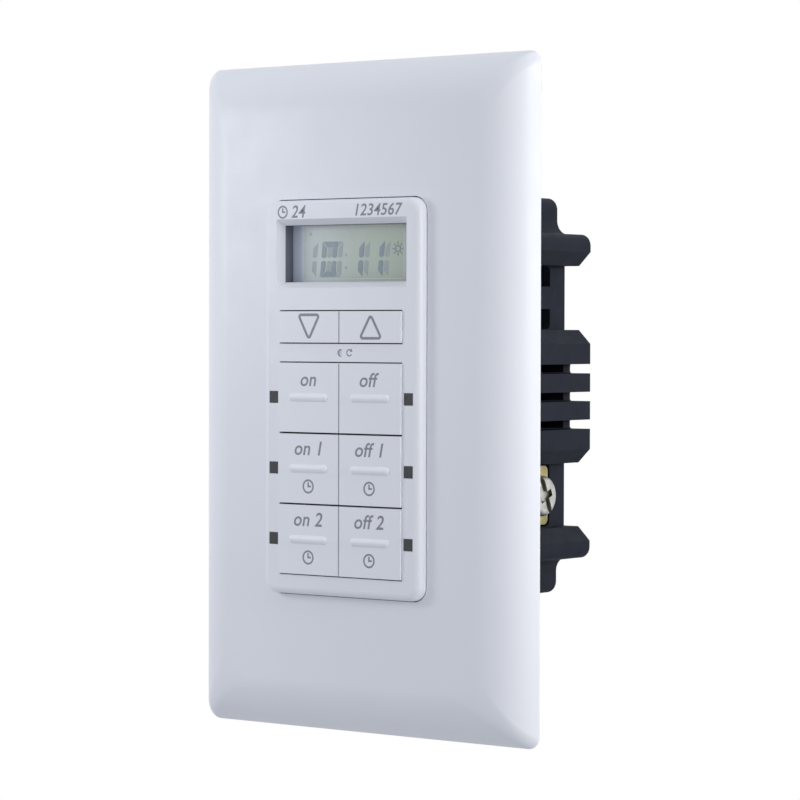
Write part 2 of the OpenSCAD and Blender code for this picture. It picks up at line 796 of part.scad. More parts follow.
// Places for the four hooks: two at the sides under the display, two at the bottom
module at_hooks() {
    for (side = sides)
        translate([0, 0, hook_z])
            mirror([side < 0 ? 1 : 0, 0, 0])
                translate([window_w / 2, 0, 0]) children();
    for (side = sides)
        translate([side * hook_x, 0, -window_h / 2])
            rotate([0, 90, 0]) children();
}

// The room that a hook needs between two depths
module hook_space(y0, y1) {
    reach = hook_gap + hook_t + hook_room;
    translate([-reach, y0, -hook_w / 2 - hook_room])
        cube([reach + hook_catch + hook_room, y1 - y0, hook_w + 2 * hook_room]);
}

module bezel() {
    color("white") {
        difference() {
            bezel_block();
            block_y(0, 0, bezel_w - 2 * bezel_wall, bezel_h - 2 * bezel_wall, bezel_in_y, past);
            view_cut();
            block_y(0, arrow_z, keys_w + 2 * key_play, arrow_key_h + 2 * key_end_play, face_y - past, 0);
            block_y(0, row_top_z - rows_h / 2, keys_w + 2 * key_play, rows_h + 2 * key_end_play, face_y - past, 0);
            rod_y(0, reset_z, face_y - past, 0, reset_hole_d);
            for (side = sides, z = row_z)
                block_y(side * lamp_x, z, lamp_w + 2 * lamp_gap, lamp_h + 2 * lamp_gap, face_y - past, 0);
        }
        at_hooks() hook();
        for (side = sides)
            difference() {
                rod_y(side * boss_x, reset_z, bezel_in_y - into, board_y, boss_d);
                rod_y(side * boss_x, reset_z, bezel_in_y + into, board_y + past,
                      board_thread_d + 2 * thread_gap);
            }
    }
}

module display_frame() {
    color("darkslategray")
    difference() {
        block_y(0, view_z, display_frame_w, display_frame_h, bezel_in_y, board_y);
        block_y(0, view_z, view_w, view_h, bezel_in_y - past, board_y);
        block_y(0, view_z, glass_w + 2 * display_gap, glass_h + 2 * display_gap, display_y, board_y + past);
    }
}

module display_panel() {
    color("darkseagreen")
    block_y(0, view_z, glass_w, glass_h, display_y, strip_y);
}

module contact_strips() {
    color("dimgray")
    for (sz = sides)
        block_y(0, view_z + sz * (glass_h - strip_t) / 2, view_w, strip_t, strip_y, board_y);
}

module indicator_windows() {
    color("dimgray")
    for (side = sides, z = row_z) {
        block_y(side * lamp_x, z, lamp_w, lamp_h, face_y, board_y - 2 * lamp_chip_t);
        block_y(side * lamp_x, z, lamp_w, lamp_h + 2 * lamp_shoulder, bezel_in_y, bezel_in_y + lamp_shoulder);
    }
}

module indicator_lamps() {
    color("whitesmoke")
    for (side = sides, z = row_z)
        block_y(side * lamp_x, z, lamp_chip_w, lamp_chip_h, board_y - lamp_chip_t, board_y);
}

// A hollow key with a stem, and lips on its outer side at the given heights
module key(side, z, h, lips) {
    color("white")
    difference() {
        union() {
            block_y(side * key_x, z, key_w, h, key_front_y, key_back_y);
            for (lip = lips)
                block_y(side * (key_x + (key_lip + into) / 2 + key_w / 2 - into), z + lip,
                        key_lip + into, key_lip_h, bezel_in_y, key_back_y);
        }
        difference() {
            block_y(side * key_x, z, key_w - 2 * key_wall, h - 2 * key_wall,
                    key_front_y + key_wall, key_back_y + past);
            rod_y(side * key_x, z, key_front_y, key_back_y + past, key_stem_d);
        }
    }
    color("white")
        rod_y(side * key_x, z, key_front_y + key_wall / 2, plunger_y, key_stem_d);
}

// A big key, with the raised bar across its middle
module big_key(side, row) {
    z = row_z[row];
    lip_z = (key_h - key_lip_h) / 2 - key_wall / 2;
    key(side, z, key_h, [-lip_z, lip_z]);
    color("white")
    translate([side * key_x, key_front_y + bar_r - bar_proud, z])
        rotate([0, 90, 0])
            rotate_extrude()
                intersection() {
                    union() {
                        square([2 * bar_r, bar_w - bar_h], center = true);
                        for (end = sides)
                            translate([0, end * (bar_w - bar_h) / 2]) circle(bar_r);
                    }
                    translate([0, -bar_w]) square([bar_w, 2 * bar_w]);
                }
}

module arrow_key(side) {
    key(side, arrow_z, arrow_key_h, [0]);
}

module plunger(side, z) {
    color("black")
    rod_y(side * key_x, z, plunger_y, plunger_y + plunger_len, plunger_d);
}

module reset_button() {
    color("white") {
        rod_y(0, reset_z, reset_tip_y, plunger_y + plunger_len, reset_pin_d);
        rod_y(0, reset_z, plunger_y, plunger_y + plunger_len, 2 * reset_pin_d);
    }
}

module switch_body(x, z, w, bore_d) {
    difference() {
        block_y(x, z, w, w, switch_y, board_y);
        rod_y(x, z, switch_y - past, board_y - (switch_body_h - key_travel) / 4, bore_d + 2 * plunger_gap);
    }
}

module push_switches() {
    color("dimgray") {
        for (side = sides, z = concat([arrow_z], row_z))
            switch_body(side * key_x, z, switch_w, plunger_d);
        switch_body(0, reset_z, reset_switch_w, 2 * reset_pin_d);
    }
}

module key_board() {
    color("darkgreen")
    difference() {
        block_y(0, 0, board_w, board_h, board_y, board_back_y);
        at_hooks() hook_space(board_y - past, board_back_y + past);
        for (side = sides)
            rod_y(side * boss_x, reset_z, board_y - past, board_back_y + past, board_thread_d + 2 * head_gap);
    }
}

module key_board_screws() {
    color("silver")
    for (side = sides)
        translate([side * boss_x, board_back_y + board_head_t, reset_z])
            rotate([-90, 0, 0])
                screw(board_head_d, board_head_t, board_thread_d, board_thread_len);
}

module controller_chip() {
    color("black")
    block_y(0, chip_z, chip_w, chip_w, board_back_y, board_back_y + chip_t);
}

module crystal() {
    color("silver")
    along_y(board_back_y, board_back_y + crystal_t)
        translate([0, crystal_z])
            rounded_rect(crystal_w, crystal_h, crystal_h / 2 - into);
}

module backup_cell() {
    color("silver")
    rod_y(0, cell_z, board_back_y, board_back_y + cell_t, cell_d);
}

// A sprung bridge over the cell, with a foot on each side
module cell_clip() {
    foot_x = cell_d / 2 + head_gap;
    top_y = board_back_y + cell_t;
    color("gold") {
        block_y(0, cell_z, 2 * (foot_x + clip_t), cell_d / 3, top_y, top_y + clip_t);
        for (side = sides) {
            block_y(side * (foot_x + clip_t / 2), cell_z, clip_t, cell_d / 3, board_back_y, top_y + clip_t);
            block_y(side * (foot_x + clip_foot / 2), cell_z, clip_foot, cell_d / 3,
                    board_back_y, board_back_y + clip_t);
        }
    }
}

module board_link() {
    color("black")
    difference() {
        union()
            for (y = [board_back_y, power_y - link_pitch])
                block_y(0, link_z, link_count * link_pitch, link_pitch, y, y + link_pitch);
        for (x = link_x)
            block_y(x, link_z, link_pin_w, link_pin_w, board_back_y - past, power_y + past);
    }
}

module link_pins() {
    color("gold")
    for (x = link_x)
        block_y(x, link_z, link_pin_w, link_pin_w, board_back_y, power_y);
}

module power_board() {
    color("darkgreen")
    difference() {
        union() {
            block_y(0, 0, 2 * (inner_x - power_gap), 2 * (inner_ear_z - power_gap), power_y, power_back_y);
            block_y(0, 0, 2 * (inner_tail_x - power_gap), 2 * (inner_z - power_gap), power_y, power_back_y);
        }
        for (sx = sides, sz = sides)
            rod_y(sx * post_x, sz * post_z, power_y - past, power_back_y + past, board_thread_d + 2 * head_gap);
    }
}

module power_board_screws() {
    color("silver")
    for (sx = sides, sz = sides)
        translate([sx * post_x, power_y - board_head_t, sz * post_z])
            rotate([90, 0, 0])
                screw(board_head_d, board_head_t, board_thread_d, board_thread_len);
}

module relay_base() {
    shrink = 2 * (relay_wall + relay_gap);
    color("black")
    block_y(0, 0, relay_w - shrink, relay_h - shrink, power_back_y, relay_iron_y);
}

module relay_cover() {
    color("skyblue")
    difference() {
        block_y(0, 0, relay_w, relay_h, power_back_y, power_back_y + relay_t);
        block_y(0, 0, relay_w - 2 * relay_wall, relay_h - 2 * relay_wall,
                power_back_y - past, power_back_y + relay_t - relay_wall);
    }
}

// The wound bobbin between the yoke's foot and the armature
module relay_coil() {
    y0 = relay_iron_y + iron_t;
    y1 = yoke_top_y - 2 * armature_gap - iron_t;
    color("peru")
    difference() {
        union() {
            rod_y(0, core_z, y0, y1, coil_d - 2 * relay_wall);
            for (y = [y0, y1 - relay_wall])
                rod_y(0, core_z, y, y + relay_wall, coil_d);
        }
        rod_y(0, core_z, y0 - past, y1 + past, core_d + 2 * thread_gap);
    }
}

module relay_core() {
    color("gray")
    rod_y(0, core_z, relay_iron_y + iron_t, yoke_top_y - armature_gap, core_d);
}

module relay_yoke() {
    foot = yoke_out_z - core_z + coil_d / 2;
    color("gray") {
        block_y(0, yoke_out_z - foot / 2, iron_w, foot, relay_iron_y, relay_iron_y + iron_t);
        block_y(0, yoke_out_z - iron_t / 2, iron_w, iron_t, relay_iron_y, yoke_top_y);
    }
}

module relay_armature() {
    color("silver")
        block_y(0, (yoke_out_z + armature_tip_z) / 2, iron_w, yoke_out_z - armature_tip_z,
                yoke_top_y, yoke_top_y + iron_t);
    color("gold")
        rod_y(0, contact_z, yoke_top_y - contact_t, yoke_top_y + iron_t / 2, contact_d);
}

// The fixed contact on its post
module relay_contact() {
    top_y = yoke_top_y - contact_t - contact_drop - contact_gap;
    shelf = contact_d + 2 * contact_rim;
    color("goldenrod") {
        rod_y(0, contact_z, top_y - contact_t - into, top_y, contact_d);
        block_y(0, contact_z, shelf, shelf, top_y - contact_t - iron_t / 2, top_y - contact_t);
        block_y(0, contact_z - shelf / 2 + iron_t / 4, shelf, iron_t / 2, relay_iron_y, top_y - contact_t);
    }
}

module film_capacitor() {
    color("gold")
    along_y(power_back_y, power_back_y + film_t)
        translate([0, film_z]) rounded_rect(film_w, film_h, into);
}

module electrolytic_capacitor() {
    color("midnightblue")
    rod_y(electrolytic_x, electrolytic_z, power_back_y, power_back_y + electrolytic_h, electrolytic_d);
}

module varistor() {
    middle_y = power_back_y + varistor_lead + varistor_d / 2;
    color("royalblue") {
        translate([varistor_x - varistor_t / 2, middle_y, electrolytic_z])
            rotate([0, 90, 0]) cylinder(d = varistor_d, h = varistor_t);
        for (sz = sides)
            rod_y(varistor_x, electrolytic_z + sz * varistor_d / 4, power_back_y, middle_y, lead_d);
    }
}

// Outline of an ear's upper half: round outside, sloped towards its wire bay
module ear_outline() {
    x = housing_w / 2;
    polygon([
        [-x + ear_r, ear_top_z], [x - ear_r, ear_top_z], [x, ear_top_z - ear_r],
        [x, ear_low_z + bay_slope], [x - bay_slope, ear_low_z],
        [-x + bay_slope, ear_low_z], [-x, ear_low_z + bay_slope], [-x, ear_top_z - ear_r]
    ]);
    for (side = sides) {
        translate([side * (x - ear_r), ear_top_z - ear_r]) circle(ear_r);
        difference() {
            translate([side * (tail_w + tail_fillet_r) / 2, ear_top_z + (tail_fillet_r - into) / 2])
                square([tail_fillet_r, tail_fillet_r + into], center = true);
            translate([side * (tail_w / 2 + tail_fillet_r), ear_top_z + tail_fillet_r])
                circle(tail_fillet_r);
        }
    }
}

module fin_outline() {
    x = housing_w / 2;
    z = fin_block_h / 2;
    difference() {
        polygon([
            [-x + bay_slope, z], [x - bay_slope, z], [x, z - bay_slope], [x, bay_slope - z],
            [x - bay_slope, -z], [-x + bay_slope, -z], [-x, bay_slope - z], [-x, z - bay_slope]
        ]);
        for (side = sides, i = [-1:1])
            translate([side * (x - slot_depth / 2 + slot_r), i * slot_pitch])
                rounded_rect(slot_depth + 2 * slot_r, slot_h, slot_r);
    }
}

module housing_outline() {
    rounded_rect(tail_w, housing_h, tail_r);
    square([2 * bay_floor_x, 2 * ear_low_z + into], center = true);
    fin_outline();
    ear_outline();
    mirror([0, 1]) ear_outline();
}

// A window through a bay's floor: whole in a wired bay, with a bar across it in an unused one
module bay_window(wired) {
    h = bay_h - 2 * window_edge;
    along_x(inner_x - past, bay_floor_x + past)
        difference() {
            translate([0, (window_front_y + window_back_y) / 2])
                rounded_rect(h, window_len, window_r);
            if (!wired)
                translate([-window_bar / 2, window_front_y - past])
                    square([window_bar, window_len + 2 * past]);
        }
}

module rear_housing() {
    color("darkslategray")
    difference() {
        union() {
            difference() {
                along_y(0, housing_depth) housing_outline();
                block_y(0, 0, 2 * inner_x, 2 * inner_ear_z, -past, housing_in_y);
                block_y(0, 0, 2 * inner_tail_x, 2 * inner_z, -past, housing_in_y);
            }
            for (sx = sides, sz = sides)
                rod_y(sx * post_x, sz * post_z, power_back_y, housing_in_y + into, post_d);
        }
        for (sx = sides, sz = sides) {
            rod_y(sx * post_x, sz * post_z, power_back_y - past, power_back_y + board_thread_len,
                  board_thread_d + 2 * thread_gap);
            rod_y(sx * screw_x, sz * screw_z, -past, housing_depth, housing_thread_d + 2 * head_gap);
            rod_y(sx * screw_x, sz * screw_z, well_y, housing_depth + past, housing_head_d + 2 * head_gap);
            translate([0, 0, sz * bay_z])
                mirror([sx < 0 ? 1 : 0, 0, 0])
                    bay_window(sx < 0 || sz < 0);
        }
        for (side = sides, i = [-1:1])
            block_y(side * (inner_x + housing_w / 2 - slot_depth) / 2, i * slot_pitch,
                    housing_w / 2 - slot_depth - inner_x + 2 * into, slot_h - vent_edge, vent_y,
                    min(vent_y + (side > 0 ? vent_len : left_vent_len), housing_in_y));
        along_y(housing_depth - label_sink, housing_depth + past) rounded_rect(label_w, label_h, label_r);
        along_y(housing_depth - gauge_depth, housing_depth + past)
            translate([0, gauge_up - housing_h / 2])
                rounded_rect(gauge_len, gauge_w, gauge_r);
        at_hooks() hook_space(-past, hook_barb + hook_room);
    }
}

module housing_screws() {
    color("silver")
    for (sx = sides, sz = sides)
        translate([sx * screw_x, well_y + housing_head_t, sz * screw_z])
            rotate([-90, 0, 0])
                screw(housing_head_d, housing_head_t, housing_thread_d, well_y + strap_t);
}

// A brass plate behind a wired bay's window, with a raised pad in the window and a tab to the power board
module terminal(bay) {
    color("gold")
    mirror([bay[0] < 0 ? 1 : 0, 0, 0])
        translate([inner_x - brass_t, 0, bay[1] * bay_z])
            difference() {
                union() {
                    translate([0, brass_front_y, -brass_h / 2])
                        cube([brass_t, brass_back_y - brass_front_y, brass_h]);
                    translate([0, power_back_y, -brass_tab_w / 2])
                        cube([brass_t, brass_front_y - power_back_y + into, brass_tab_w]);
                    along_x(brass_t - into, brass_t + housing_wall - pad_sink)
                        translate([0, (window_front_y + window_back_y) / 2])
                            rounded_rect(bay_h - 2 * (window_edge + pad_gap), window_len - 2 * pad_gap, window_r);
                }
                translate([-past, terminal_screw_y, 0])
                    rotate([0, 90, 0])
                        cylinder(d = terminal_thread_d + 2 * thread_gap, h = brass_t + housing_wall + 2 * past);
            }
}

module terminal_screws() {
    color("silver")
    for (bay = terminal_bays)
        mirror([bay[0] < 0 ? 1 : 0, 0, 0])
            translate([bay_floor_x + terminal_grip + terminal_head_t, terminal_screw_y, bay[1] * bay_z])
                rotate([0, 90, 0])
                    rotate([0, 0, drive_turn])
                        screw(terminal_head_d, terminal_head_t, terminal_thread_d,
                              terminal_grip + housing_wall + brass_t + screw_past, terminal_round);
}

wall_plate();
sub_plate();
plate_screws();
mounting_strap();
ground_screw();
bezel();
display_frame();
display_panel();
contact_strips();
indicator_windows();
arrow_key(-1);  // down_key
arrow_key(1);  // up_key
big_key(-1, 0);  // on_key
big_key(1, 0);  // off_key
big_key(-1, 1);  // on_1_key
big_key(1, 1);  // off_1_key
big_key(-1, 2);  // on_2_key
big_key(1, 2);  // off_2_key
plunger(-1, arrow_z);  // down_plunger
plunger(1, arrow_z);  // up_plunger
plunger(-1, row_z[0]);  // on_plunger
plunger(1, row_z[0]);  // off_plunger
plunger(-1, row_z[1]);  // on_1_plunger
plunger(1, row_z[1]);  // off_1_plunger
plunger(-1, row_z[2]);  // on_2_plunger
plunger(1, row_z[2]);  // off_2_plunger
reset_button();
push_switches();
indicator_lamps();
key_board();
key_board_screws();
controller_chip();
crystal();
cell_clip();
backup_cell();
board_link();
link_pins();
power_board();
power_board_screws();
relay_base();
relay_cover();
relay_coil();
relay_core();
relay_yoke();
relay_armature();
relay_contact();
film_capacitor();
electrolytic_capacitor();
varistor();
rear_housing();
housing_screws();
terminal(terminal_bays[0]);  // line_terminal
terminal(terminal_bays[1]);  // load_terminal
terminal(terminal_bays[2]);  // neutral_terminal
terminal_screws();
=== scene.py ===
"""Looks of the timer light switch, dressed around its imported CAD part."""

import json
import math

import bmesh
import bpy
from mathutils import Matrix, Vector


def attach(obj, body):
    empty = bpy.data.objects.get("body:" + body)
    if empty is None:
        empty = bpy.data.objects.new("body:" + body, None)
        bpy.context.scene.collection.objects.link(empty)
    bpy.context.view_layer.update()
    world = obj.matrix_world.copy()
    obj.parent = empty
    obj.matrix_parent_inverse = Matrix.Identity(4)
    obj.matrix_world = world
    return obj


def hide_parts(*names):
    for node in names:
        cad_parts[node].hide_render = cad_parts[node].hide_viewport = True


MM = 0.001
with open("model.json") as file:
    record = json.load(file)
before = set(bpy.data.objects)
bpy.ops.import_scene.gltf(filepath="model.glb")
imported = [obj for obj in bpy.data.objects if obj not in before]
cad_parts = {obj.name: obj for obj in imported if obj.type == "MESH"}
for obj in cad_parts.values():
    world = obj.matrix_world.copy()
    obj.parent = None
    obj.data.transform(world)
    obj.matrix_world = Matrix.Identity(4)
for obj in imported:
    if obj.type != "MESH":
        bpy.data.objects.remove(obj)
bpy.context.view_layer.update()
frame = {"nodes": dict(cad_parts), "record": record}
nodes = frame["nodes"]
scene = bpy.context.scene

# Camera: the photograph's view, for an image of 800 by 800 pixels; lengths in millimetres
AZIMUTH = math.radians(37.259)
ELEVATION = math.radians(1.281)
ROLL = math.radians(-0.13)
DISTANCE = 527.257
IMAGE_SIZE = 800
FOCAL_PIXELS = 3122.622
SENSOR = 36.0
LOOK_RIGHT = 4.924
LOOK_UP = -0.405
CLIP_START = 10


def add_camera():
    back = Vector((
        math.sin(AZIMUTH) * math.cos(ELEVATION),
        -math.cos(AZIMUTH) * math.cos(ELEVATION),
        math.sin(ELEVATION),
    ))
    level = Vector((math.cos(AZIMUTH), math.sin(AZIMUTH), 0))
    upright = back.cross(level)
    place = (back * DISTANCE + level * LOOK_RIGHT + upright * LOOK_UP) * MM
    right = level * math.cos(ROLL) - upright * math.sin(ROLL)
    up = level * math.sin(ROLL) + upright * math.cos(ROLL)
    data = bpy.data.cameras.new("camera")
    data.sensor_width = SENSOR
    data.lens = SENSOR * FOCAL_PIXELS / IMAGE_SIZE
    data.clip_start = CLIP_START * MM
    camera = bpy.data.objects.new("camera", data)
    camera.matrix_world = Matrix((
        (right.x, up.x, back.x, place.x),
        (right.y, up.y, back.y, place.y),
        (right.z, up.z, back.z, place.z),
        (0, 0, 0, 1),
    ))
    scene.collection.objects.link(camera)
    scene.camera = camera


# Materials: the range in which most values of a noise lie, and the finest streaks and specks in millimetres
NOISE_LOW = 0.3
NOISE_HIGH = 0.7
STREAK_MM = 0.25
SPECK_MM = 0.12


class Surface:
    """A Principled material and short ways to add the nodes that feed it."""

    def __init__(self, name, **constants):
        self.material = bpy.data.materials.new(name)
        self.material.use_nodes = True
        self.tree = self.material.node_tree
        self.tree.nodes.clear()
        self.output = self.tree.nodes.new("ShaderNodeOutputMaterial")
        self.shader = self.tree.nodes.new("ShaderNodeBsdfPrincipled")
        self.join(self.shader.outputs["BSDF"], self.output.inputs["Surface"])
        self.place = self.tree.nodes.new("ShaderNodeTexCoord").outputs["Object"]
        for socket, value in constants.items():
            self.shader.inputs[socket.replace("_", " ")].default_value = value

    def join(self, out_socket, in_socket):
        self.tree.links.new(out_socket, in_socket)

    def stretched(self, scale):
        node = self.tree.nodes.new("ShaderNodeMapping")
        node.inputs["Scale"].default_value = scale
        self.join(self.place, node.inputs["Vector"])
        return node.outputs["Vector"]

    def noise(self, size_mm, detail=3.0, place=None):
        node = self.tree.nodes.new("ShaderNodeTexNoise")
        node.inputs["Scale"].default_value = 1 / (size_mm * MM)
        node.inputs["Detail"].default_value = detail
        self.join(place or self.place, node.inputs["Vector"])
        return node.outputs["Fac"]

    def spread(self, factor, low, high):
        node = self.tree.nodes.new("ShaderNodeMapRange")
        node.inputs["From Min"].default_value = NOISE_LOW
        node.inputs["From Max"].default_value = NOISE_HIGH
        node.inputs["To Min"].default_value = low
        node.inputs["To Max"].default_value = high
        self.join(factor, node.inputs["Value"])
        return node.outputs["Result"]

    def ramp(self, factor, stops):
        node = self.tree.nodes.new("ShaderNodeValToRGB")
        # A new ramp has two stops; the others start in its middle
        for _ in range(len(stops) - 2):
            node.color_ramp.elements.new(0.5)
        for element, (position, colour) in zip(node.color_ramp.elements, stops):
            element.position = position
            element.color = (*colour, 1)
        self.join(factor, node.inputs["Fac"])
        return node.outputs["Color"]

    def multiplied(self, one, other):
        node = self.tree.nodes.new("ShaderNodeMix")
        node.data_type = "RGBA"
        node.blend_type = "MULTIPLY"
        node.inputs["Factor"].default_value = 1
        for socket, name in ((one, "A"), (other, "B")):
            colour_input = next(entry for entry in node.inputs if entry.name == name and entry.type == "RGBA")
            self.join(socket, colour_input)
        return next(entry for entry in node.outputs if entry.type == "RGBA")

    def colour(self, socket):
        self.join(socket, self.shader.inputs["Base Color"])

    def roughness(self, socket):
        self.join(socket, self.shader.inputs["Roughness"])

    def bump(self, factor, depth_mm, strength=1.0):
        node = self.tree.nodes.new("ShaderNodeBump")
        node.inputs["Strength"].default_value = strength
        node.inputs["Distance"].default_value = depth_mm * MM
        self.join(factor, node.inputs["Height"])
        self.join(node.outputs["Normal"], self.shader.inputs["Normal"])


def tinted(colour, factor):
    return tuple(min(1, channel * factor) for channel in colour)


def moulded(name, colour, rough, grain_mm, grain_depth, mottle=0.02, cloud_mm=9, rough_spread=0.05,
            **constants):
    """Moulded plastic: a faint cloudiness, a fine skin and uneven gloss."""
    surface = Surface(name, **constants)
    cloud = surface.noise(cloud_mm)
    tones = [(NOISE_LOW, tinted(colour, 1 - mottle)), (NOISE_HIGH, tinted(colour, 1 + mottle))]
    surface.colour(surface.ramp(cloud, tones))
    gloss = surface.noise(cloud_mm / 3)
    surface.roughness(surface.spread(gloss, rough - rough_spread, rough + rough_spread))
    surface.bump(surface.noise(grain_mm, detail=2), grain_depth)
    return surface.material


# Painted shade in the recesses of metal: its olive tint, and how open a place is where the shade is full and
# where there is none
RECESS_SHADE = (0.30, 0.28, 0.18)
RECESS_SHADE_FULL = 0.45
RECESS_SHADE_NONE = 0.85
SMOOTHER = 0.08
ROUGHER = 0.1


def metal(name, colour, rough, streak, mottle=0.12, depth_mm=0.004, cloud_mm=3, recess_shade_mm=0.8):
    """Bare or plated metal: drawn streaks, a cloudy tarnish, painted shade in its recesses and uneven gloss.
    """
    surface = Surface(name, Metallic=1.0)
    cloud = surface.ramp(surface.noise(cloud_mm), [
        (NOISE_LOW, tinted(colour, 1 - mottle)), (NOISE_HIGH, tinted(colour, 1 + mottle / 2)),
    ])
    # Painted shade: occlusion darkens the colour in slots and recesses and tints it olive
    open_sky = surface.tree.nodes.new("ShaderNodeAmbientOcclusion")
    open_sky.only_local = True
    open_sky.inputs["Distance"].default_value = recess_shade_mm * MM
    recess_shade = surface.ramp(open_sky.outputs["AO"], [(RECESS_SHADE_FULL, RECESS_SHADE), (RECESS_SHADE_NONE, (1, 1, 1))])
    surface.colour(surface.multiplied(cloud, recess_shade))
    lines = surface.noise(STREAK_MM, place=surface.stretched(streak))
    surface.roughness(surface.spread(lines, rough - SMOOTHER, rough + ROUGHER))
    surface.bump(lines, depth_mm)
    return surface.material


# Display glass: half the width that its tones run across, and the tones from left to right, the first of them
# painted shade
GLASS_HALF = 13.0
GLASS_TONES_AND_SHADOW_BAND = [
    # Painted shade: a paler, bluer tone lying in the shadow that the window's left edge casts on the glass
    (0.09, (0.64, 0.72, 0.84)),
    (0.11, (0.50, 0.575, 0.585)),
    (0.3, (0.495, 0.57, 0.55)),
    (0.5, (0.445, 0.515, 0.46)),
    (0.72, (0.425, 0.50, 0.425)),
    (0.918, (0.405, 0.475, 0.395)),
    (0.925, (0.46, 0.50, 0.50)),
]
SPECK_TONE = 0.95


def display_glass(name):
    """Liquid crystal glass: grey green, with a paler, bluer band of painted shade at the left, where the
    window's edge casts its shadow, and a paler border at the right.
    """
    surface = Surface(name, Coat_Weight=0.6, Coat_Roughness=0.05)
    split = surface.tree.nodes.new("ShaderNodeSeparateXYZ")
    surface.join(surface.place, split.inputs["Vector"])
    across = surface.tree.nodes.new("ShaderNodeMapRange")
    across.inputs["From Min"].default_value = -GLASS_HALF * MM
    across.inputs["From Max"].default_value = GLASS_HALF * MM
    surface.join(split.outputs["X"], across.inputs["Value"])
    tone = surface.ramp(across.outputs["Result"], GLASS_TONES_AND_SHADOW_BAND)
    speck = surface.ramp(surface.noise(SPECK_MM), [(NOISE_LOW, (SPECK_TONE,) * 3), (NOISE_HIGH, (1, 1, 1))])
    surface.colour(surface.multiplied(tone, speck))
    surface.roughness(surface.spread(surface.noise(size_mm=1.5), low=0.28, high=0.36))
    return surface.material


# Circuit boards: size of the cells between tracks in millimetres, and a track's edges and paler tint
TRACK_CELL = 3
TRACK_EDGES = (0.04, 0.09)
TRACK_TINT = 1.7


def circuit_board(name, colour):
    """Solder-masked board: tracks show as faint paler lines under the mask."""
    surface = Surface(name, Coat_Weight=0.3, Coat_Roughness=0.2)
    cells = surface.tree.nodes.new("ShaderNodeTexVoronoi")
    cells.feature = "DISTANCE_TO_EDGE"
    cells.inputs["Scale"].default_value = 1 / (TRACK_CELL * MM)
    surface.join(surface.place, cells.inputs["Vector"])
    lines = cells.outputs["Distance"]
    track, mask = TRACK_EDGES
    surface.colour(surface.ramp(lines, [(track, tinted(colour, TRACK_TINT)), (mask, colour)]))
    surface.roughness(surface.spread(surface.noise(size_mm=2), low=0.3, high=0.42))
    surface.bump(lines, depth_mm=0.02, strength=0.3)
    return surface.material


WHITE = (0.795, 0.82, 0.885)

# Plastics, inks and paper: colour, roughness, grain size and depth in millimetres, and what else is set
MOULDED = {
    "plate_white": (WHITE, 0.4, 0.35, 0.0012, {"mottle": 0.006, "cloud_mm": 14, "Specular_IOR_Level": 0.35}),
    "bezel_white": (tinted(WHITE, 0.99), 0.44, 0.22, 0.0015, {"mottle": 0.008}),
    "key_white": (WHITE, 0.48, 0.18, 0.0015, {"mottle": 0.008}),
    "sub_grey": ((0.62, 0.62, 0.60), 0.5, 0.2, 0.003, {}),
    "housing_charcoal": ((0.018, 0.021, 0.031), 0.6, 0.12, 0.004, {
        "mottle": 0.08, "cloud_mm": 6, "rough_spread": 0.06, "Specular_IOR_Level": 0.06,
    }),
    "black_plastic": ((0.02, 0.02, 0.023), 0.5, 0.15, 0.004, {"mottle": 0.1, "Specular_IOR_Level": 0.3}),
    "frame_grey": ((0.172, 0.183, 0.225), 0.5, 0.15, 0.003, {"mottle": 0.05, "Specular_IOR_Level": 0.3}),
    "window_smoke": ((0.050, 0.054, 0.060), 0.3, 0.3, 0.001, {"mottle": 0.06, "Specular_IOR_Level": 0.3}),
    "lamp_white": ((0.75, 0.75, 0.68), 0.3, 0.2, 0.001, {}),
    "strip_rubber": ((0.045, 0.045, 0.05), 0.75, 0.1, 0.006, {"mottle": 0.15}),
    "relay_blue": ((0.10, 0.26, 0.45), 0.28, 0.3, 0.001, {}),
    "capacitor_yellow": ((0.60, 0.42, 0.06), 0.3, 0.5, 0.004, {"mottle": 0.05}),
    "capacitor_blue": ((0.03, 0.05, 0.18), 0.25, 0.6, 0.002, {}),
    "varistor_blue": ((0.05, 0.14, 0.40), 0.32, 0.7, 0.006, {"mottle": 0.05}),
    "ground_green": ((0.03, 0.20, 0.08), 0.3, 0.2, 0.004, {"mottle": 0.2, "cloud_mm": 2, "Metallic": 0.6}),
    "ink": ((0.235, 0.245, 0.285), 0.55, 0.08, 0.001, {"mottle": 0.12, "cloud_mm": 0.4}),
    "display_ink": ((0.225, 0.29, 0.345), 0.3, 0.2, 0.0005, {"mottle": 0.06, "cloud_mm": 1}),
    # Painted shadow: the tone of the segments' shadows, which is also the tone of the display's pale marks
    "display_pale_and_shadow": ((0.32, 0.385, 0.40), 0.3, 0.2, 0.0005, {"mottle": 0.05, "cloud_mm": 1}),
    "display_line": ((0.55, 0.60, 0.60), 0.3, 0.2, 0.0005, {"mottle": 0.05, "cloud_mm": 1}),
    "label_paper": ((0.60, 0.61, 0.60), 0.7, 0.06, 0.004, {"mottle": 0.02, "cloud_mm": 4}),
    "label_ink": ((0.05, 0.05, 0.055), 0.6, 0.06, 0.001, {"mottle": 0.15, "cloud_mm": 0.5}),
}
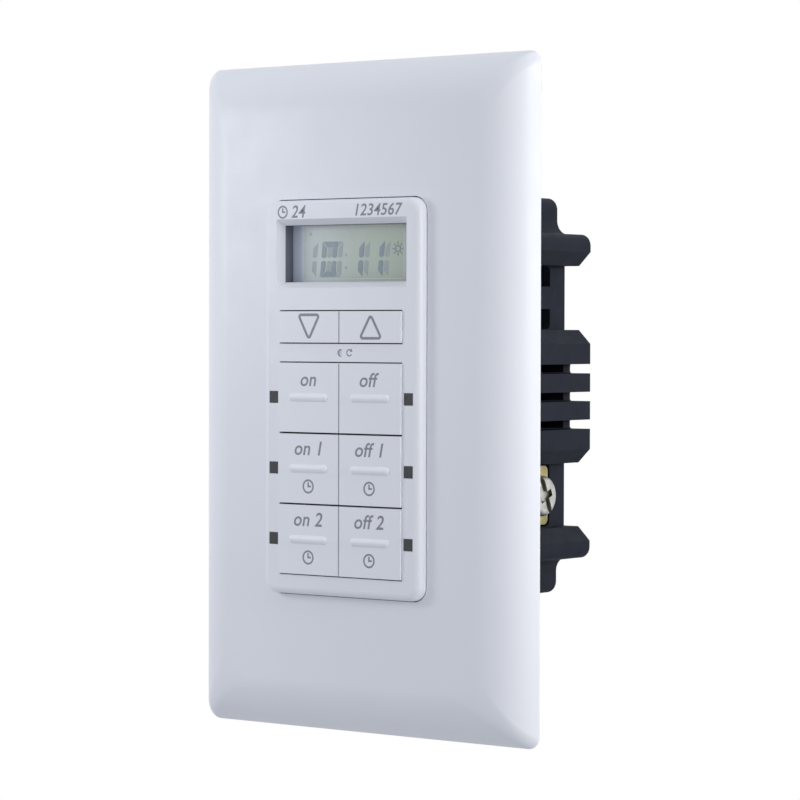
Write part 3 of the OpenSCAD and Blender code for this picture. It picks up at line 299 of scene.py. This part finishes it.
# Metals: colour, roughness, scale of the drawn streaks along each axis, and what else is set
METALS = {
    "zinc_steel": ((0.60, 0.605, 0.61), 0.34, (1, 1, 0.08), {}),
    "screw_steel": ((0.50, 0.505, 0.50), 0.52, (1, 1, 0.08), {
        # A wider reach of painted shade, darkening the slots of the screws
        "mottle": 0.25, "cloud_mm": 1.5, "recess_shade_mm": 1.4,
    }),
    "brass": ((0.39, 0.345, 0.165), 0.45, (1, 0.1, 1), {"mottle": 0.3}),
    "coil_copper": ((0.62, 0.27, 0.11), 0.32, (0.05, 1, 0.05), {}),
    "soft_iron": ((0.36, 0.36, 0.37), 0.45, (0.1, 1, 1), {}),
}
BOARD_GREEN = (0.02, 0.11, 0.045)
materials = {name: moulded(name, *row[:-1], **row[-1]) for name, row in MOULDED.items()}
materials["board_green"] = circuit_board("board_green", BOARD_GREEN)
materials["display_green"] = display_glass("display_green")
for metal_name, metal_row in METALS.items():
    materials[metal_name] = metal(metal_name, *metal_row[:-1], **metal_row[-1])
NODE_MATERIALS = {"bezel": "bezel_white", "display_frame": "frame_grey", "terminal_screws": "screw_steel"}
slot_of = {entry["node"]: entry["material_slot"] for entry in frame["record"]["subparts"]}

# Edge roundings of the CAD nodes in millimetres: keys have their own, other nodes not listed the smallest
EDGE_ROUND = {
    "bezel": 0.06, "rear_housing": 0.2, "display_frame": 0.08, "mounting_strap": 0.12, "sub_plate": 0.15,
    "terminal_screws": 0.1, "ground_screw": 0.1,
}
KEY_ROUND = 0.33
SMALL_ROUND = 0.06
ROUND_SEGMENTS = 3
SHARP_ANGLE = math.radians(32)
WELD_GAP = 0.0005
NORMAL_WEIGHT = 80


def add_weighted_normals(obj):
    normals = obj.modifiers.new("normals", "WEIGHTED_NORMAL")
    normals.mode = "FACE_AREA"
    normals.weight = NORMAL_WEIGHT
    normals.keep_sharp = True


def dress_node(name):
    obj = nodes[name]
    material = materials[NODE_MATERIALS.get(name, slot_of[name])]
    obj.data.materials.clear()
    obj.data.materials.append(material)
    width = KEY_ROUND if name.endswith("_key") else EDGE_ROUND.get(name, SMALL_ROUND)
    weld = obj.modifiers.new("weld", "WELD")
    weld.merge_threshold = WELD_GAP * MM
    edge = obj.modifiers.new("edge", "BEVEL")
    edge.width = width * MM
    edge.segments = ROUND_SEGMENTS
    edge.limit_method = "ANGLE"
    edge.angle_limit = SHARP_ANGLE
    add_weighted_normals(obj)


def add_piece(name, bm, material, body):
    """A new piece from a bmesh in millimetres, riding on a body."""
    bmesh.ops.recalc_face_normals(bm, faces=bm.faces)
    bmesh.ops.scale(bm, vec=(MM, MM, MM), verts=bm.verts)
    mesh = bpy.data.meshes.new(name)
    bm.to_mesh(mesh)
    bm.free()
    mesh.materials.append(materials[material])
    obj = bpy.data.objects.new(name, mesh)
    scene.collection.objects.link(obj)
    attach(obj, body)
    return obj


# Wall plate: rings of one rounded outline, run along the section of the rolled shell
PLATE_HALF = (34.925, 56.75)
PLATE_DEPTH = 6.5
PLATE_WALL = 2.0
ROLL_CENTRE_Y = 2.9
ROLL_RADIUS = 9.4
RIM = 0.4
RIM_ROUND = 0.25
RIM_MIDDLE = 0.07
CORNER_RIM = 2.0
CORNER_FACE = 5.0
OPENING_HALF = (16.64, 33.4)
OPENING_CORNER = 2.6
OPENING_ROUND = 0.12
OPENING_MIDDLE = 0.035
ROLL_STEPS = 22
CORNER_STEPS = 12


def outline(half_w, half_h, corner, y):
    """Points of a rounded rectangle at one depth, going round from the right side's upper end."""
    points = []
    for side_x, side_z, start in ((1, 1, 0), (-1, 1, 90), (-1, -1, 180), (1, -1, 270)):
        for step in range(CORNER_STEPS + 1):
            angle = math.radians(start + 90 * step / CORNER_STEPS)
            points.append((
                side_x * (half_w - corner) + corner * math.cos(angle), y,
                side_z * (half_h - corner) + corner * math.sin(angle),
            ))
    return points


def roll_rings(half, radius):
    """Rings of a rolled edge from its straight rim to the flat face."""
    reach = math.sqrt(radius ** 2 - (ROLL_CENTRE_Y + RIM) ** 2)
    start = math.atan2(ROLL_CENTRE_Y + RIM, reach)
    rings = []
    for step in range(ROLL_STEPS + 1):
        angle = start + (math.pi / 2 - start) * step / ROLL_STEPS
        inset = reach - radius * math.cos(angle)
        corner = CORNER_RIM + (CORNER_FACE - CORNER_RIM) * (inset / reach) ** 2
        depth = ROLL_CENTRE_Y - radius * math.sin(angle)
        rings.append(outline(half[0] - inset, half[1] - inset, corner, depth))
    return rings


def loft(bm, rings):
    """Quads from each ring to the next, and from the last to the first."""
    verts = [[bm.verts.new(point) for point in ring] for ring in rings]
    count = len(rings[0])
    for ring, following in zip(verts, verts[1:] + verts[:1]):
        for i in range(count):
            j = (i + 1) % count
            bm.faces.new((ring[i], ring[j], following[j], following[i]))


def add_wall_plate():
    outer = roll_rings(PLATE_HALF, ROLL_RADIUS)
    inner_half = [size - PLATE_WALL for size in PLATE_HALF]
    inner = roll_rings(inner_half, ROLL_RADIUS - PLATE_WALL)
    rings = []
    for inset, y in ((RIM_ROUND, 0), (RIM_MIDDLE, -RIM_MIDDLE), (0, -RIM_ROUND)):
        rings.append(outline(PLATE_HALF[0] - inset, PLATE_HALF[1] - inset, CORNER_RIM - inset, y))
    rings += outer
    for grow, sink in ((OPENING_ROUND, 0), (OPENING_MIDDLE, OPENING_MIDDLE), (0, OPENING_ROUND)):
        half_w, half_h = (size + grow for size in OPENING_HALF)
        rings.append(outline(half_w, half_h, OPENING_CORNER + grow, sink - PLATE_DEPTH))
    rings.append(outline(*OPENING_HALF, OPENING_CORNER, PLATE_WALL - PLATE_DEPTH))
    rings += reversed(inner)
    rings.append(outline(*inner_half, CORNER_RIM, 0))
    bm = bmesh.new()
    loft(bm, rings)
    plate = add_piece("wall_plate_shell", bm, "plate_white", "cover")
    plate.data.shade_smooth()
    add_weighted_normals(plate)
    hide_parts("wall_plate")


# Printed marks: thin closed prisms that stand on a face by a hair
PRINT_THICKNESS = 0.012
PRINT_SINK = 0.003
KEY_FACE_Y = -8.75
BEZEL_FACE_Y = -8.4
GLASS_Y = -5.0
LETTER_SLANT = 0.2
LETTER_SPACE = 1.04
LETTER_WEIGHT = 0.012
LETTER_CURVE_STEPS = 6
MERGE_GAP = 1e-5
STROKE_END_STEPS = 6
# Lengths of a clock face's hands, as shares of its radius
MINUTE_HAND = 0.6
HOUR_HAND = 0.5


def add_prism(bm, loop, hole_loop, y, thickness=PRINT_THICKNESS):
    """A flat shape with a thickness: one loop, or the band between two loops of as many points."""
    depths = (y - thickness, y + PRINT_SINK)
    front, back = ([bm.verts.new((x, depth, z)) for x, z in loop] for depth in depths)
    count = len(loop)
    if hole_loop:
        hole_front, hole_back = ([bm.verts.new((x, depth, z)) for x, z in hole_loop] for depth in depths)
    else:
        bm.faces.new(front)
        bm.faces.new(back)
    for i in range(count):
        j = (i + 1) % count
        bm.faces.new((front[i], front[j], back[j], back[i]))
        if hole_loop:
            bm.faces.new((hole_front[i], hole_front[j], hole_back[j], hole_back[i]))
            bm.faces.new((front[i], front[j], hole_front[j], hole_front[i]))
            bm.faces.new((back[i], back[j], hole_back[j], hole_back[i]))


def circle_loop(x, z, radius, count=32):
    return [
        (x + radius * math.cos(2 * math.pi * i / count), z + radius * math.sin(2 * math.pi * i / count))
        for i in range(count)
    ]


def bar_loop(start, end, width):
    """A straight stroke with round ends."""
    along = Vector(end) - Vector(start)
    angle = math.atan2(along.y, along.x)
    loop = []
    for (x, z), turn in ((end, -90), (start, 90)):
        for step in range(STROKE_END_STEPS + 1):
            direction = angle + math.radians(turn + 180 * step / STROKE_END_STEPS)
            loop.append((x + width / 2 * math.cos(direction), z + width / 2 * math.sin(direction)))
    return loop


def corner_of(corners, i):
    """One corner of a polygon, the directions to both neighbours and half the angle between them."""
    here = Vector(corners[i])
    to_last = (Vector(corners[i - 1]) - here).normalized()
    to_next = (Vector(corners[(i + 1) % len(corners)]) - here).normalized()
    return here, to_last, to_next, to_last.angle(to_next) / 2


def rounded_loop(corners, radius, steps=6):
    """A polygon with its corners rounded, going counter-clockwise."""
    loop = []
    for i in range(len(corners)):
        here, to_last, to_next, half = corner_of(corners, i)
        middle = here + (to_last + to_next).normalized() * radius / math.sin(half)
        start = here + to_last * radius / math.tan(half) - middle
        sweep = math.pi - 2 * half
        for step in range(steps + 1):
            turned = Matrix.Rotation(sweep * step / steps, 2) @ start
            loop.append(tuple(middle + turned))
    return loop


def clock_face(bm, x, z, radius, stroke, y):
    """A ring with an hour hand to the right and a minute hand up."""
    add_prism(bm, circle_loop(x, z, radius), circle_loop(x, z, radius - stroke), y)
    half = stroke / 2
    up = z + radius * MINUTE_HAND
    along = x + radius * HOUR_HAND
    hands = [
        (x - half, up), (x - half, z - half), (along, z - half),
        (along, z + half), (x + half, z + half), (x + half, up),
    ]
    add_prism(bm, hands, None, y)


def text_mesh(words, size):
    """The outline of some words as a closed mesh in millimetres, standing in the XZ plane."""
    curve = bpy.data.curves.new("words", "FONT")
    curve.body = words
    curve.size = size
    curve.shear = LETTER_SLANT
    curve.space_character = LETTER_SPACE
    curve.resolution_u = LETTER_CURVE_STEPS
    curve.extrude = (PRINT_THICKNESS + PRINT_SINK) / 2
    curve.offset = LETTER_WEIGHT * size
    obj = bpy.data.objects.new("words", curve)
    scene.collection.objects.link(obj)
    depsgraph = bpy.context.evaluated_depsgraph_get()
    mesh = bpy.data.meshes.new_from_object(obj.evaluated_get(depsgraph))
    bpy.data.objects.remove(obj)
    bpy.data.curves.remove(curve)
    bm = bmesh.new()
    bm.from_mesh(mesh)
    bpy.data.meshes.remove(mesh)
    bmesh.ops.remove_doubles(bm, verts=bm.verts, dist=MERGE_GAP)
    bmesh.ops.rotate(bm, matrix=Matrix.Rotation(math.pi / 2, 3, "X"), verts=bm.verts)
    return bm


def face_back(bm):
    """Turn marks drawn for a face towards the front, so that they lie on one towards the back."""
    bmesh.ops.rotate(bm, matrix=Matrix.Rotation(math.pi, 3, "Z"), verts=bm.verts)


def add_words(name, words, x_mid, z_base, size, face_y, body):
    bm = text_mesh(words, size)
    left = min(vert.co.x for vert in bm.verts)
    right = max(vert.co.x for vert in bm.verts)
    shift = Vector((x_mid - (left + right) / 2, face_y - (PRINT_THICKNESS - PRINT_SINK) / 2, z_base))
    bmesh.ops.translate(bm, vec=shift, verts=bm.verts)
    return add_piece(name, bm, "ink", body)


def add_marks(name, draw, face_y, body, material="ink"):
    bm = bmesh.new()
    draw(bm, face_y)
    return add_piece(name, bm, material, body)


# Legends of the keys
TEXT_SIZE = 3.3
ROW_STEP = 11.95
KEY_X = {"on": -6.5, "off": 6.45}
ROW_TEXT_Z = 2.0
EVENT_TEXT_LIFT = 0.35
CLOCK_MARK_Z = -14.9
CLOCK_MARK_RADIUS = 1.2
CLOCK_MARK_STROKE = 0.3


def add_key_legends():
    for word, x in KEY_X.items():
        add_words(f"{word}_legend", word, x, ROW_TEXT_Z, TEXT_SIZE, KEY_FACE_Y, word)
        for row in (1, 2):
            key = f"{word}_{row}"
            base = ROW_TEXT_Z + EVENT_TEXT_LIFT - ROW_STEP * row
            add_words(f"{key}_legend", f"{word} {row}", x, base, TEXT_SIZE, KEY_FACE_Y, key)
            level = CLOCK_MARK_Z - ROW_STEP * (row - 1)
            bm = bmesh.new()
            clock_face(bm, x, level, CLOCK_MARK_RADIUS, CLOCK_MARK_STROKE, KEY_FACE_Y)
            add_piece(f"{key}_clock_mark", bm, "ink", key)


TRIANGLES = {
    "down": [(-9.05, 14.15), (-6.42, 9.35), (-3.8, 14.15)],
    "up": [(4.05, 9.8), (9.3, 9.8), (6.7, 14.35)],
}
TRIANGLE_STROKE = 0.45
TRIANGLE_OUTER_ROUND = 0.55
TRIANGLE_INNER_ROUND = 0.14


def add_arrows():
    for key, corners in TRIANGLES.items():
        inner = []
        for i in range(len(corners)):
            here, to_last, to_next, half = corner_of(corners, i)
            inner.append(here + (to_last + to_next).normalized() * TRIANGLE_STROKE / math.sin(half))
        outer_loop = rounded_loop(corners, TRIANGLE_OUTER_ROUND)
        inner_loop = rounded_loop(inner, TRIANGLE_INNER_ROUND)
        bm = bmesh.new()
        add_prism(bm, outer_loop, inner_loop, KEY_FACE_Y)
        add_piece(f"{key}_arrow", bm, "ink", key)


# Ring arrow at the reset hole: its place, the start and sweep of its arc in degrees, and its head
RESET_PLACE = (1.95, 7.6)
RESET_RADIUS = 0.52
RESET_STROKE = 0.2
RESET_START = 60
RESET_SWEEP = 270
RESET_STEPS = 20
RESET_HEAD_HALF = 0.34
RESET_HEAD_LENGTH = 0.5


def reset_mark(bm, y):
    """A ring arrow: most of a circle and a head on its open end."""
    middle = Vector(RESET_PLACE)
    spokes = []
    for step in range(RESET_STEPS + 1):
        angle = math.radians(RESET_START + RESET_SWEEP * step / RESET_STEPS)
        spokes.append(Vector((math.cos(angle), math.sin(angle))))
    outer = [middle + spoke * (RESET_RADIUS + RESET_STROKE / 2) for spoke in spokes]
    inner = [middle + spoke * (RESET_RADIUS - RESET_STROKE / 2) for spoke in spokes]
    aside = spokes[0]
    ahead = Vector((aside.y, -aside.x))
    head = middle + aside * RESET_RADIUS
    half = aside * RESET_HEAD_HALF
    arrow = [head - half, head + ahead * RESET_HEAD_LENGTH, head + half]
    add_prism(bm, [tuple(point) for point in outer + inner[::-1] + arrow], None, y)


# Marks over the display: the clock's place, radius and stroke, and each number's middle, base and size
BEZEL_CLOCK = (-12.4, 31.25, 1.1, 0.28)
BEZEL_NUMBERS = {
    "clock_number": ("24", -9.0, 30.3, 2.9),
    "day_numbers": ("1234567", 8.1, 30.4, 2.75),
}


def add_bezel_labels():
    bm = bmesh.new()
    clock_face(bm, *BEZEL_CLOCK, BEZEL_FACE_Y)
    add_piece("clock_mark", bm, "ink", "chassis")
    for name, (digits, x_mid, z_base, size) in BEZEL_NUMBERS.items():
        add_words(name, digits, x_mid, z_base, size, BEZEL_FACE_Y, "chassis")
    add_marks("reset_mark", reset_mark, BEZEL_FACE_Y, "chassis")


# Rear label: a plain wiring diagram on paper in the housing's recess
LABEL_HALF = (12.8, 21.8)
LABEL_CORNER = 1.3
LABEL_FLOOR_Y = 33.0
LABEL_THICKNESS = 0.1
LABEL_LINE = 0.35
BORDER_INSET = 1
BORDER_ROUND = 1.0
BORDER_INNER_ROUND = 0.7
SWITCH_Z = 11.0
LAMP_Z = 2.0
GROUND_Z = -9.0
TERMINAL_X = 8.6
TERMINAL_RADIUS = 1.0
WIRE_END = 7.3
LAMP_RADIUS = 2.2
LAMP_WIRE = 2.9
# Ends of the wires to the open switch, and of its lever above them
SWITCH_WIRES = (-3.2, 2.8)
LEVER = ((-2.6, 0.6), (2.2, 2.9))
# Rise of the ground wire above the sign's first bar, half lengths of its bars and their distance
GROUND_RISE = (0.6, 4.2)
GROUND_BARS = (2.6, 1.7, 0.8)
GROUND_STEP = 1.1


def rectangle(half_w, half_h):
    return [(-half_w, -half_h), (half_w, -half_h), (half_w, half_h), (-half_w, half_h)]


def label_line(bm, start, end, y):
    add_prism(bm, bar_loop(start, end, LABEL_LINE), None, y)


def label_ring(bm, x, z, radius, y):
    add_prism(bm, circle_loop(x, z, radius), circle_loop(x, z, radius - LABEL_LINE), y)


def wiring_diagram(bm, y):
    """A border, a supply line through an open switch, a lamp on the return line and a ground sign."""
    half_w, half_h = (size - BORDER_INSET for size in LABEL_HALF)
    border = rounded_loop(rectangle(half_w, half_h), BORDER_ROUND)
    border_hole = rounded_loop(rectangle(half_w - LABEL_LINE, half_h - LABEL_LINE), BORDER_INNER_ROUND)
    add_prism(bm, border, border_hole, y)
    for z in (SWITCH_Z, LAMP_Z):
        for x in (-TERMINAL_X, TERMINAL_X):
            label_ring(bm, x, z, TERMINAL_RADIUS, y)
    lever_foot, lever_tip = ((x, SWITCH_Z + rise) for x, rise in LEVER)
    label_line(bm, (-WIRE_END, SWITCH_Z), (SWITCH_WIRES[0], SWITCH_Z), y)
    label_line(bm, lever_foot, lever_tip, y)
    label_line(bm, (SWITCH_WIRES[1], SWITCH_Z), (WIRE_END, SWITCH_Z), y)
    label_line(bm, (-WIRE_END, LAMP_Z), (-LAMP_WIRE, LAMP_Z), y)
    label_ring(bm, 0, LAMP_Z, LAMP_RADIUS, y)
    label_line(bm, (LAMP_WIRE, LAMP_Z), (WIRE_END, LAMP_Z), y)
    label_line(bm, (0, GROUND_Z + GROUND_RISE[0]), (0, GROUND_Z + GROUND_RISE[1]), y)
    for i, reach in enumerate(GROUND_BARS):
        level = GROUND_Z - i * GROUND_STEP
        label_line(bm, (-reach, level), (reach, level), y)


def add_rear_label():
    bm = bmesh.new()
    loop = rounded_loop(rectangle(*LABEL_HALF), LABEL_CORNER)
    add_prism(bm, loop, None, -LABEL_FLOOR_Y, LABEL_THICKNESS)
    face_back(bm)
    add_piece("rear_label", bm, "label_paper", "chassis")
    bm = bmesh.new()
    wiring_diagram(bm, -LABEL_FLOOR_Y - LABEL_THICKNESS)
    face_back(bm)
    add_piece("rear_label_print", bm, "label_ink", "chassis")


# Display: slanted segments, each with a paler painted shadow beside it, as if cast on the layer behind
DIGIT_BASE = 20.3
DIGIT_TOP = 26.25
DIGIT_MIDDLE = (DIGIT_BASE + DIGIT_TOP) / 2
DIGIT_SLANT = math.tan(math.radians(5.5))
SEGMENT_W = 0.96
SEGMENT_GAP = 0.1
POINT_SLOPE = 0.5
SHADOW_SHIFT = 1.2


def slanted(loop):
    return [(x + (z - DIGIT_MIDDLE) * DIGIT_SLANT, z) for x, z in loop]


def upright_segment(x, upper, outer):
    """A vertical segment of a digit: mitred at its far end, pointed towards the digit's middle."""
    sign = 1 if upper else -1
    end = (DIGIT_TOP if upper else DIGIT_BASE) - sign * SEGMENT_GAP
    near = DIGIT_MIDDLE + sign * SEGMENT_GAP * 2
    half = SEGMENT_W / 2
    shoulder = near + sign * half * POINT_SLOPE
    far_x = x + outer * half
    near_x = x - outer * half
    return slanted([
        (far_x, end), (near_x, end - sign * SEGMENT_W), (near_x, shoulder), (x, near), (far_x, shoulder),
    ])


def level_segment(x0, x1, top):
    """The top or bottom segment of a digit, mitred at both ends."""
    sign = 1 if top else -1
    end = DIGIT_TOP if top else DIGIT_BASE
    inner = end - sign * SEGMENT_W
    return slanted([
        (x0 + SEGMENT_GAP, end), (x1 - SEGMENT_GAP, end), (x1 - SEGMENT_GAP - SEGMENT_W, inner),
        (x0 + SEGMENT_GAP + SEGMENT_W, inner),
    ])


ONES = (1.74, 6.01)
FAINT_ONE = -8.16
NOUGHT = (-6.715, -3.475)
COLON_X = -1.43
COLON_Z = (23.98, 21.81)
COLON_RADIUS = 0.26
COLON_STEPS = 16
# The faint mark at the top left, as a triangle
CORNER_MARK = [(-9.4, 27.35), (-8.75, 27.35), (-9.0, 28.0)]
# Sun: its place, the radii of its ring, and where its rays start and end
SUN = (9.5, 24.9)
SUN_RING = (0.62, 0.4)
SUN_STEPS = 20
SUN_RAYS = 8
RAY_START = 0.82
RAY_END = 1.1
RAY_WIDTH = 0.2
# Border of the glass's view: left, right, bottom and top, with the line's width and roundings
VIEW_X = (-10.5, 10.9)
VIEW_Z = (19.86, 28.9)
VIEW_LINE = 0.2
VIEW_OUTER_ROUND = 0.4
VIEW_INNER_ROUND = 0.2


def shifted(loop, dx):
    return [(x + dx, z) for x, z in loop]


def digit_loops():
    """Outlines of the two ones and the nought."""
    uprights = [(x, 1) for x in ONES]
    uprights += [(NOUGHT[0] + SEGMENT_W / 2, -1), (NOUGHT[1] - SEGMENT_W / 2, 1)]
    loops = []
    for upper in (True, False):
        loops += [upright_segment(x, upper, outer) for x, outer in uprights]
        loops.append(level_segment(*NOUGHT, upper))
    return loops


def dark_segments(bm, y):
    for loop in digit_loops():
        add_prism(bm, loop, None, y)
    outer, inner = (circle_loop(*SUN, radius, SUN_STEPS) for radius in SUN_RING)
    add_prism(bm, outer, inner, y)
    for ray in range(SUN_RAYS):
        angle = 2 * math.pi * ray / SUN_RAYS
        along = Vector((math.cos(angle), math.sin(angle)))
        start, end = (Vector(SUN) + along * reach for reach in (RAY_START, RAY_END))
        add_prism(bm, bar_loop(start, end, RAY_WIDTH), None, y)


def pale_marks_and_segment_shadows(bm, y):
    # Painted shadow: a paler copy of each segment, shifted right, stands for the shadow it casts on the layer
    # behind
    for loop in digit_loops():
        add_prism(bm, shifted(loop, SHADOW_SHIFT), None, y)
    for upper in (True, False):
        add_prism(bm, upright_segment(FAINT_ONE, upper, 1), None, y)
    for z in COLON_Z:
        add_prism(bm, circle_loop(COLON_X, z, COLON_RADIUS, COLON_STEPS), None, y)
    add_prism(bm, CORNER_MARK, None, y)


def view_border(bm, y):
    """The thin pale line round the part of the glass that can show something."""
    loops = []
    for inset, radius in ((0, VIEW_OUTER_ROUND), (VIEW_LINE, VIEW_INNER_ROUND)):
        left, right = VIEW_X[0] + inset, VIEW_X[1] - inset
        bottom, top = VIEW_Z[0] + inset, VIEW_Z[1] - inset
        loops.append(rounded_loop([(left, bottom), (right, bottom), (right, top), (left, top)], radius))
    add_prism(bm, *loops, y)


def add_display_marks():
    front_y = GLASS_Y - 2 * PRINT_THICKNESS
    add_marks("display_segments", dark_segments, front_y, "chassis", "display_ink")
    add_marks("display_pale_marks_and_shadows", pale_marks_and_segment_shadows, GLASS_Y, "chassis", "display_pale_and_shadow")
    add_marks("display_border", view_border, GLASS_Y, "chassis", "display_line")


# Light and floor, in metres
# Lamps: place, aim, size, spread of the light in degrees, power in watts and colour
WARM = (1, 0.985, 0.95)
COOL = (0.94, 0.97, 1)
LAMPS = {
    "side_light": ((0.6, 0.2, 0.1), (0.03, 0, 0.02), 0.2, 40, 0.06, WARM),
    "edge_light": ((0.64, -0.045, 0.1), (0.03, 0, 0.02), 0.08, 40, 0.071, WARM),
    "front_light": ((-0.13, -0.105, 0.045), (0, 0, 0), 0.055, 180, 0.078, COOL),
    "top_light": ((0.05, -0.02, 0.5), (0, 0, 0), 0.2, 40, 0.026, (1, 1, 1)),
}
WORLD_COLOUR = (0.93, 0.95, 1.0, 1)
WORLD_STRENGTH = 0.58
FLOOR_HALF = 6.0
FLOOR_Z = -0.18
FLOOR_COLOUR = (0.82, 0.82, 0.83, 1)
FLOOR_ROUGH = 0.7
# Distances from the middle of the floor between which it fades to the background
FADE_START = 0.25
FADE_END = 0.55


def add_area(name, place, aim, size, spread, energy, colour):
    """A square soft box; a small spread keeps its light near the line of its aim."""
    data = bpy.data.lights.new(name, "AREA")
    data.size = size
    data.spread = math.radians(spread)
    data.energy = energy
    data.color = colour
    lamp = bpy.data.objects.new(name, data)
    lamp.location = place
    lamp.rotation_euler = (Vector(aim) - Vector(place)).to_track_quat("-Z", "Y").to_euler()
    scene.collection.objects.link(lamp)


def seen_directly(tree):
    """One where a ray comes from the camera, or by way of a mirror or glass."""
    path = tree.nodes.new("ShaderNodeLightPath")
    total = path.outputs["Is Camera Ray"]
    for name in ("Is Glossy Ray", "Is Transmission Ray"):
        most = tree.nodes.new("ShaderNodeMath")
        most.operation = "MAXIMUM"
        tree.links.new(total, most.inputs[0])
        tree.links.new(path.outputs[name], most.inputs[1])
        total = most.outputs[0]
    return total


def add_world():
    world = bpy.data.worlds.new("world")
    scene.world = world
    world.use_nodes = True
    tree = world.node_tree
    tree.nodes.clear()
    output = tree.nodes.new("ShaderNodeOutputWorld")
    mix = tree.nodes.new("ShaderNodeMixShader")
    light = tree.nodes.new("ShaderNodeBackground")
    light.inputs["Color"].default_value = WORLD_COLOUR
    light.inputs["Strength"].default_value = WORLD_STRENGTH
    white = tree.nodes.new("ShaderNodeBackground")
    white.inputs["Color"].default_value = (1, 1, 1, 1)
    white.inputs["Strength"].default_value = 1
    tree.links.new(seen_directly(tree), mix.inputs["Fac"])
    tree.links.new(light.outputs[0], mix.inputs[1])
    tree.links.new(white.outputs[0], mix.inputs[2])
    tree.links.new(mix.outputs[0], output.inputs["Surface"])


def add_floor():
    """A pale floor below the part: it takes the shadow near the part and fades to the white background."""
    mesh = bpy.data.meshes.new("floor")
    corners = [(x, y, FLOOR_Z) for x, y in rectangle(FLOOR_HALF, FLOOR_HALF)]
    mesh.from_pydata(corners, [], [(0, 1, 2, 3)])
    floor = bpy.data.objects.new("floor", mesh)
    scene.collection.objects.link(floor)
    surface = Surface("floor_pale", Base_Color=FLOOR_COLOUR, Roughness=FLOOR_ROUGH)
    tree = surface.tree
    white = tree.nodes.new("ShaderNodeEmission")
    white.inputs["Strength"].default_value = 1
    distance = tree.nodes.new("ShaderNodeVectorMath")
    distance.operation = "LENGTH"
    surface.join(surface.place, distance.inputs[0])
    fade = tree.nodes.new("ShaderNodeMapRange")
    fade.interpolation_type = "SMOOTHSTEP"
    fade.inputs["From Min"].default_value = FADE_START
    fade.inputs["From Max"].default_value = FADE_END
    surface.join(distance.outputs["Value"], fade.inputs["Value"])
    both = tree.nodes.new("ShaderNodeMath")
    both.operation = "MULTIPLY"
    surface.join(fade.outputs["Result"], both.inputs[0])
    surface.join(seen_directly(tree), both.inputs[1])
    mix = tree.nodes.new("ShaderNodeMixShader")
    surface.join(both.outputs[0], mix.inputs["Fac"])
    surface.join(surface.shader.outputs["BSDF"], mix.inputs[1])
    surface.join(white.outputs[0], mix.inputs[2])
    surface.join(mix.outputs[0], surface.output.inputs["Surface"])
    mesh.materials.append(surface.material)


add_camera()
for node in nodes:
    dress_node(node)
add_wall_plate()
add_key_legends()
add_arrows()
add_bezel_labels()
add_display_marks()
add_rear_label()
for lamp_name, lamp_row in LAMPS.items():
    add_area(lamp_name, *lamp_row)
add_world()
add_floor()
scene.view_settings.view_transform = "Standard"
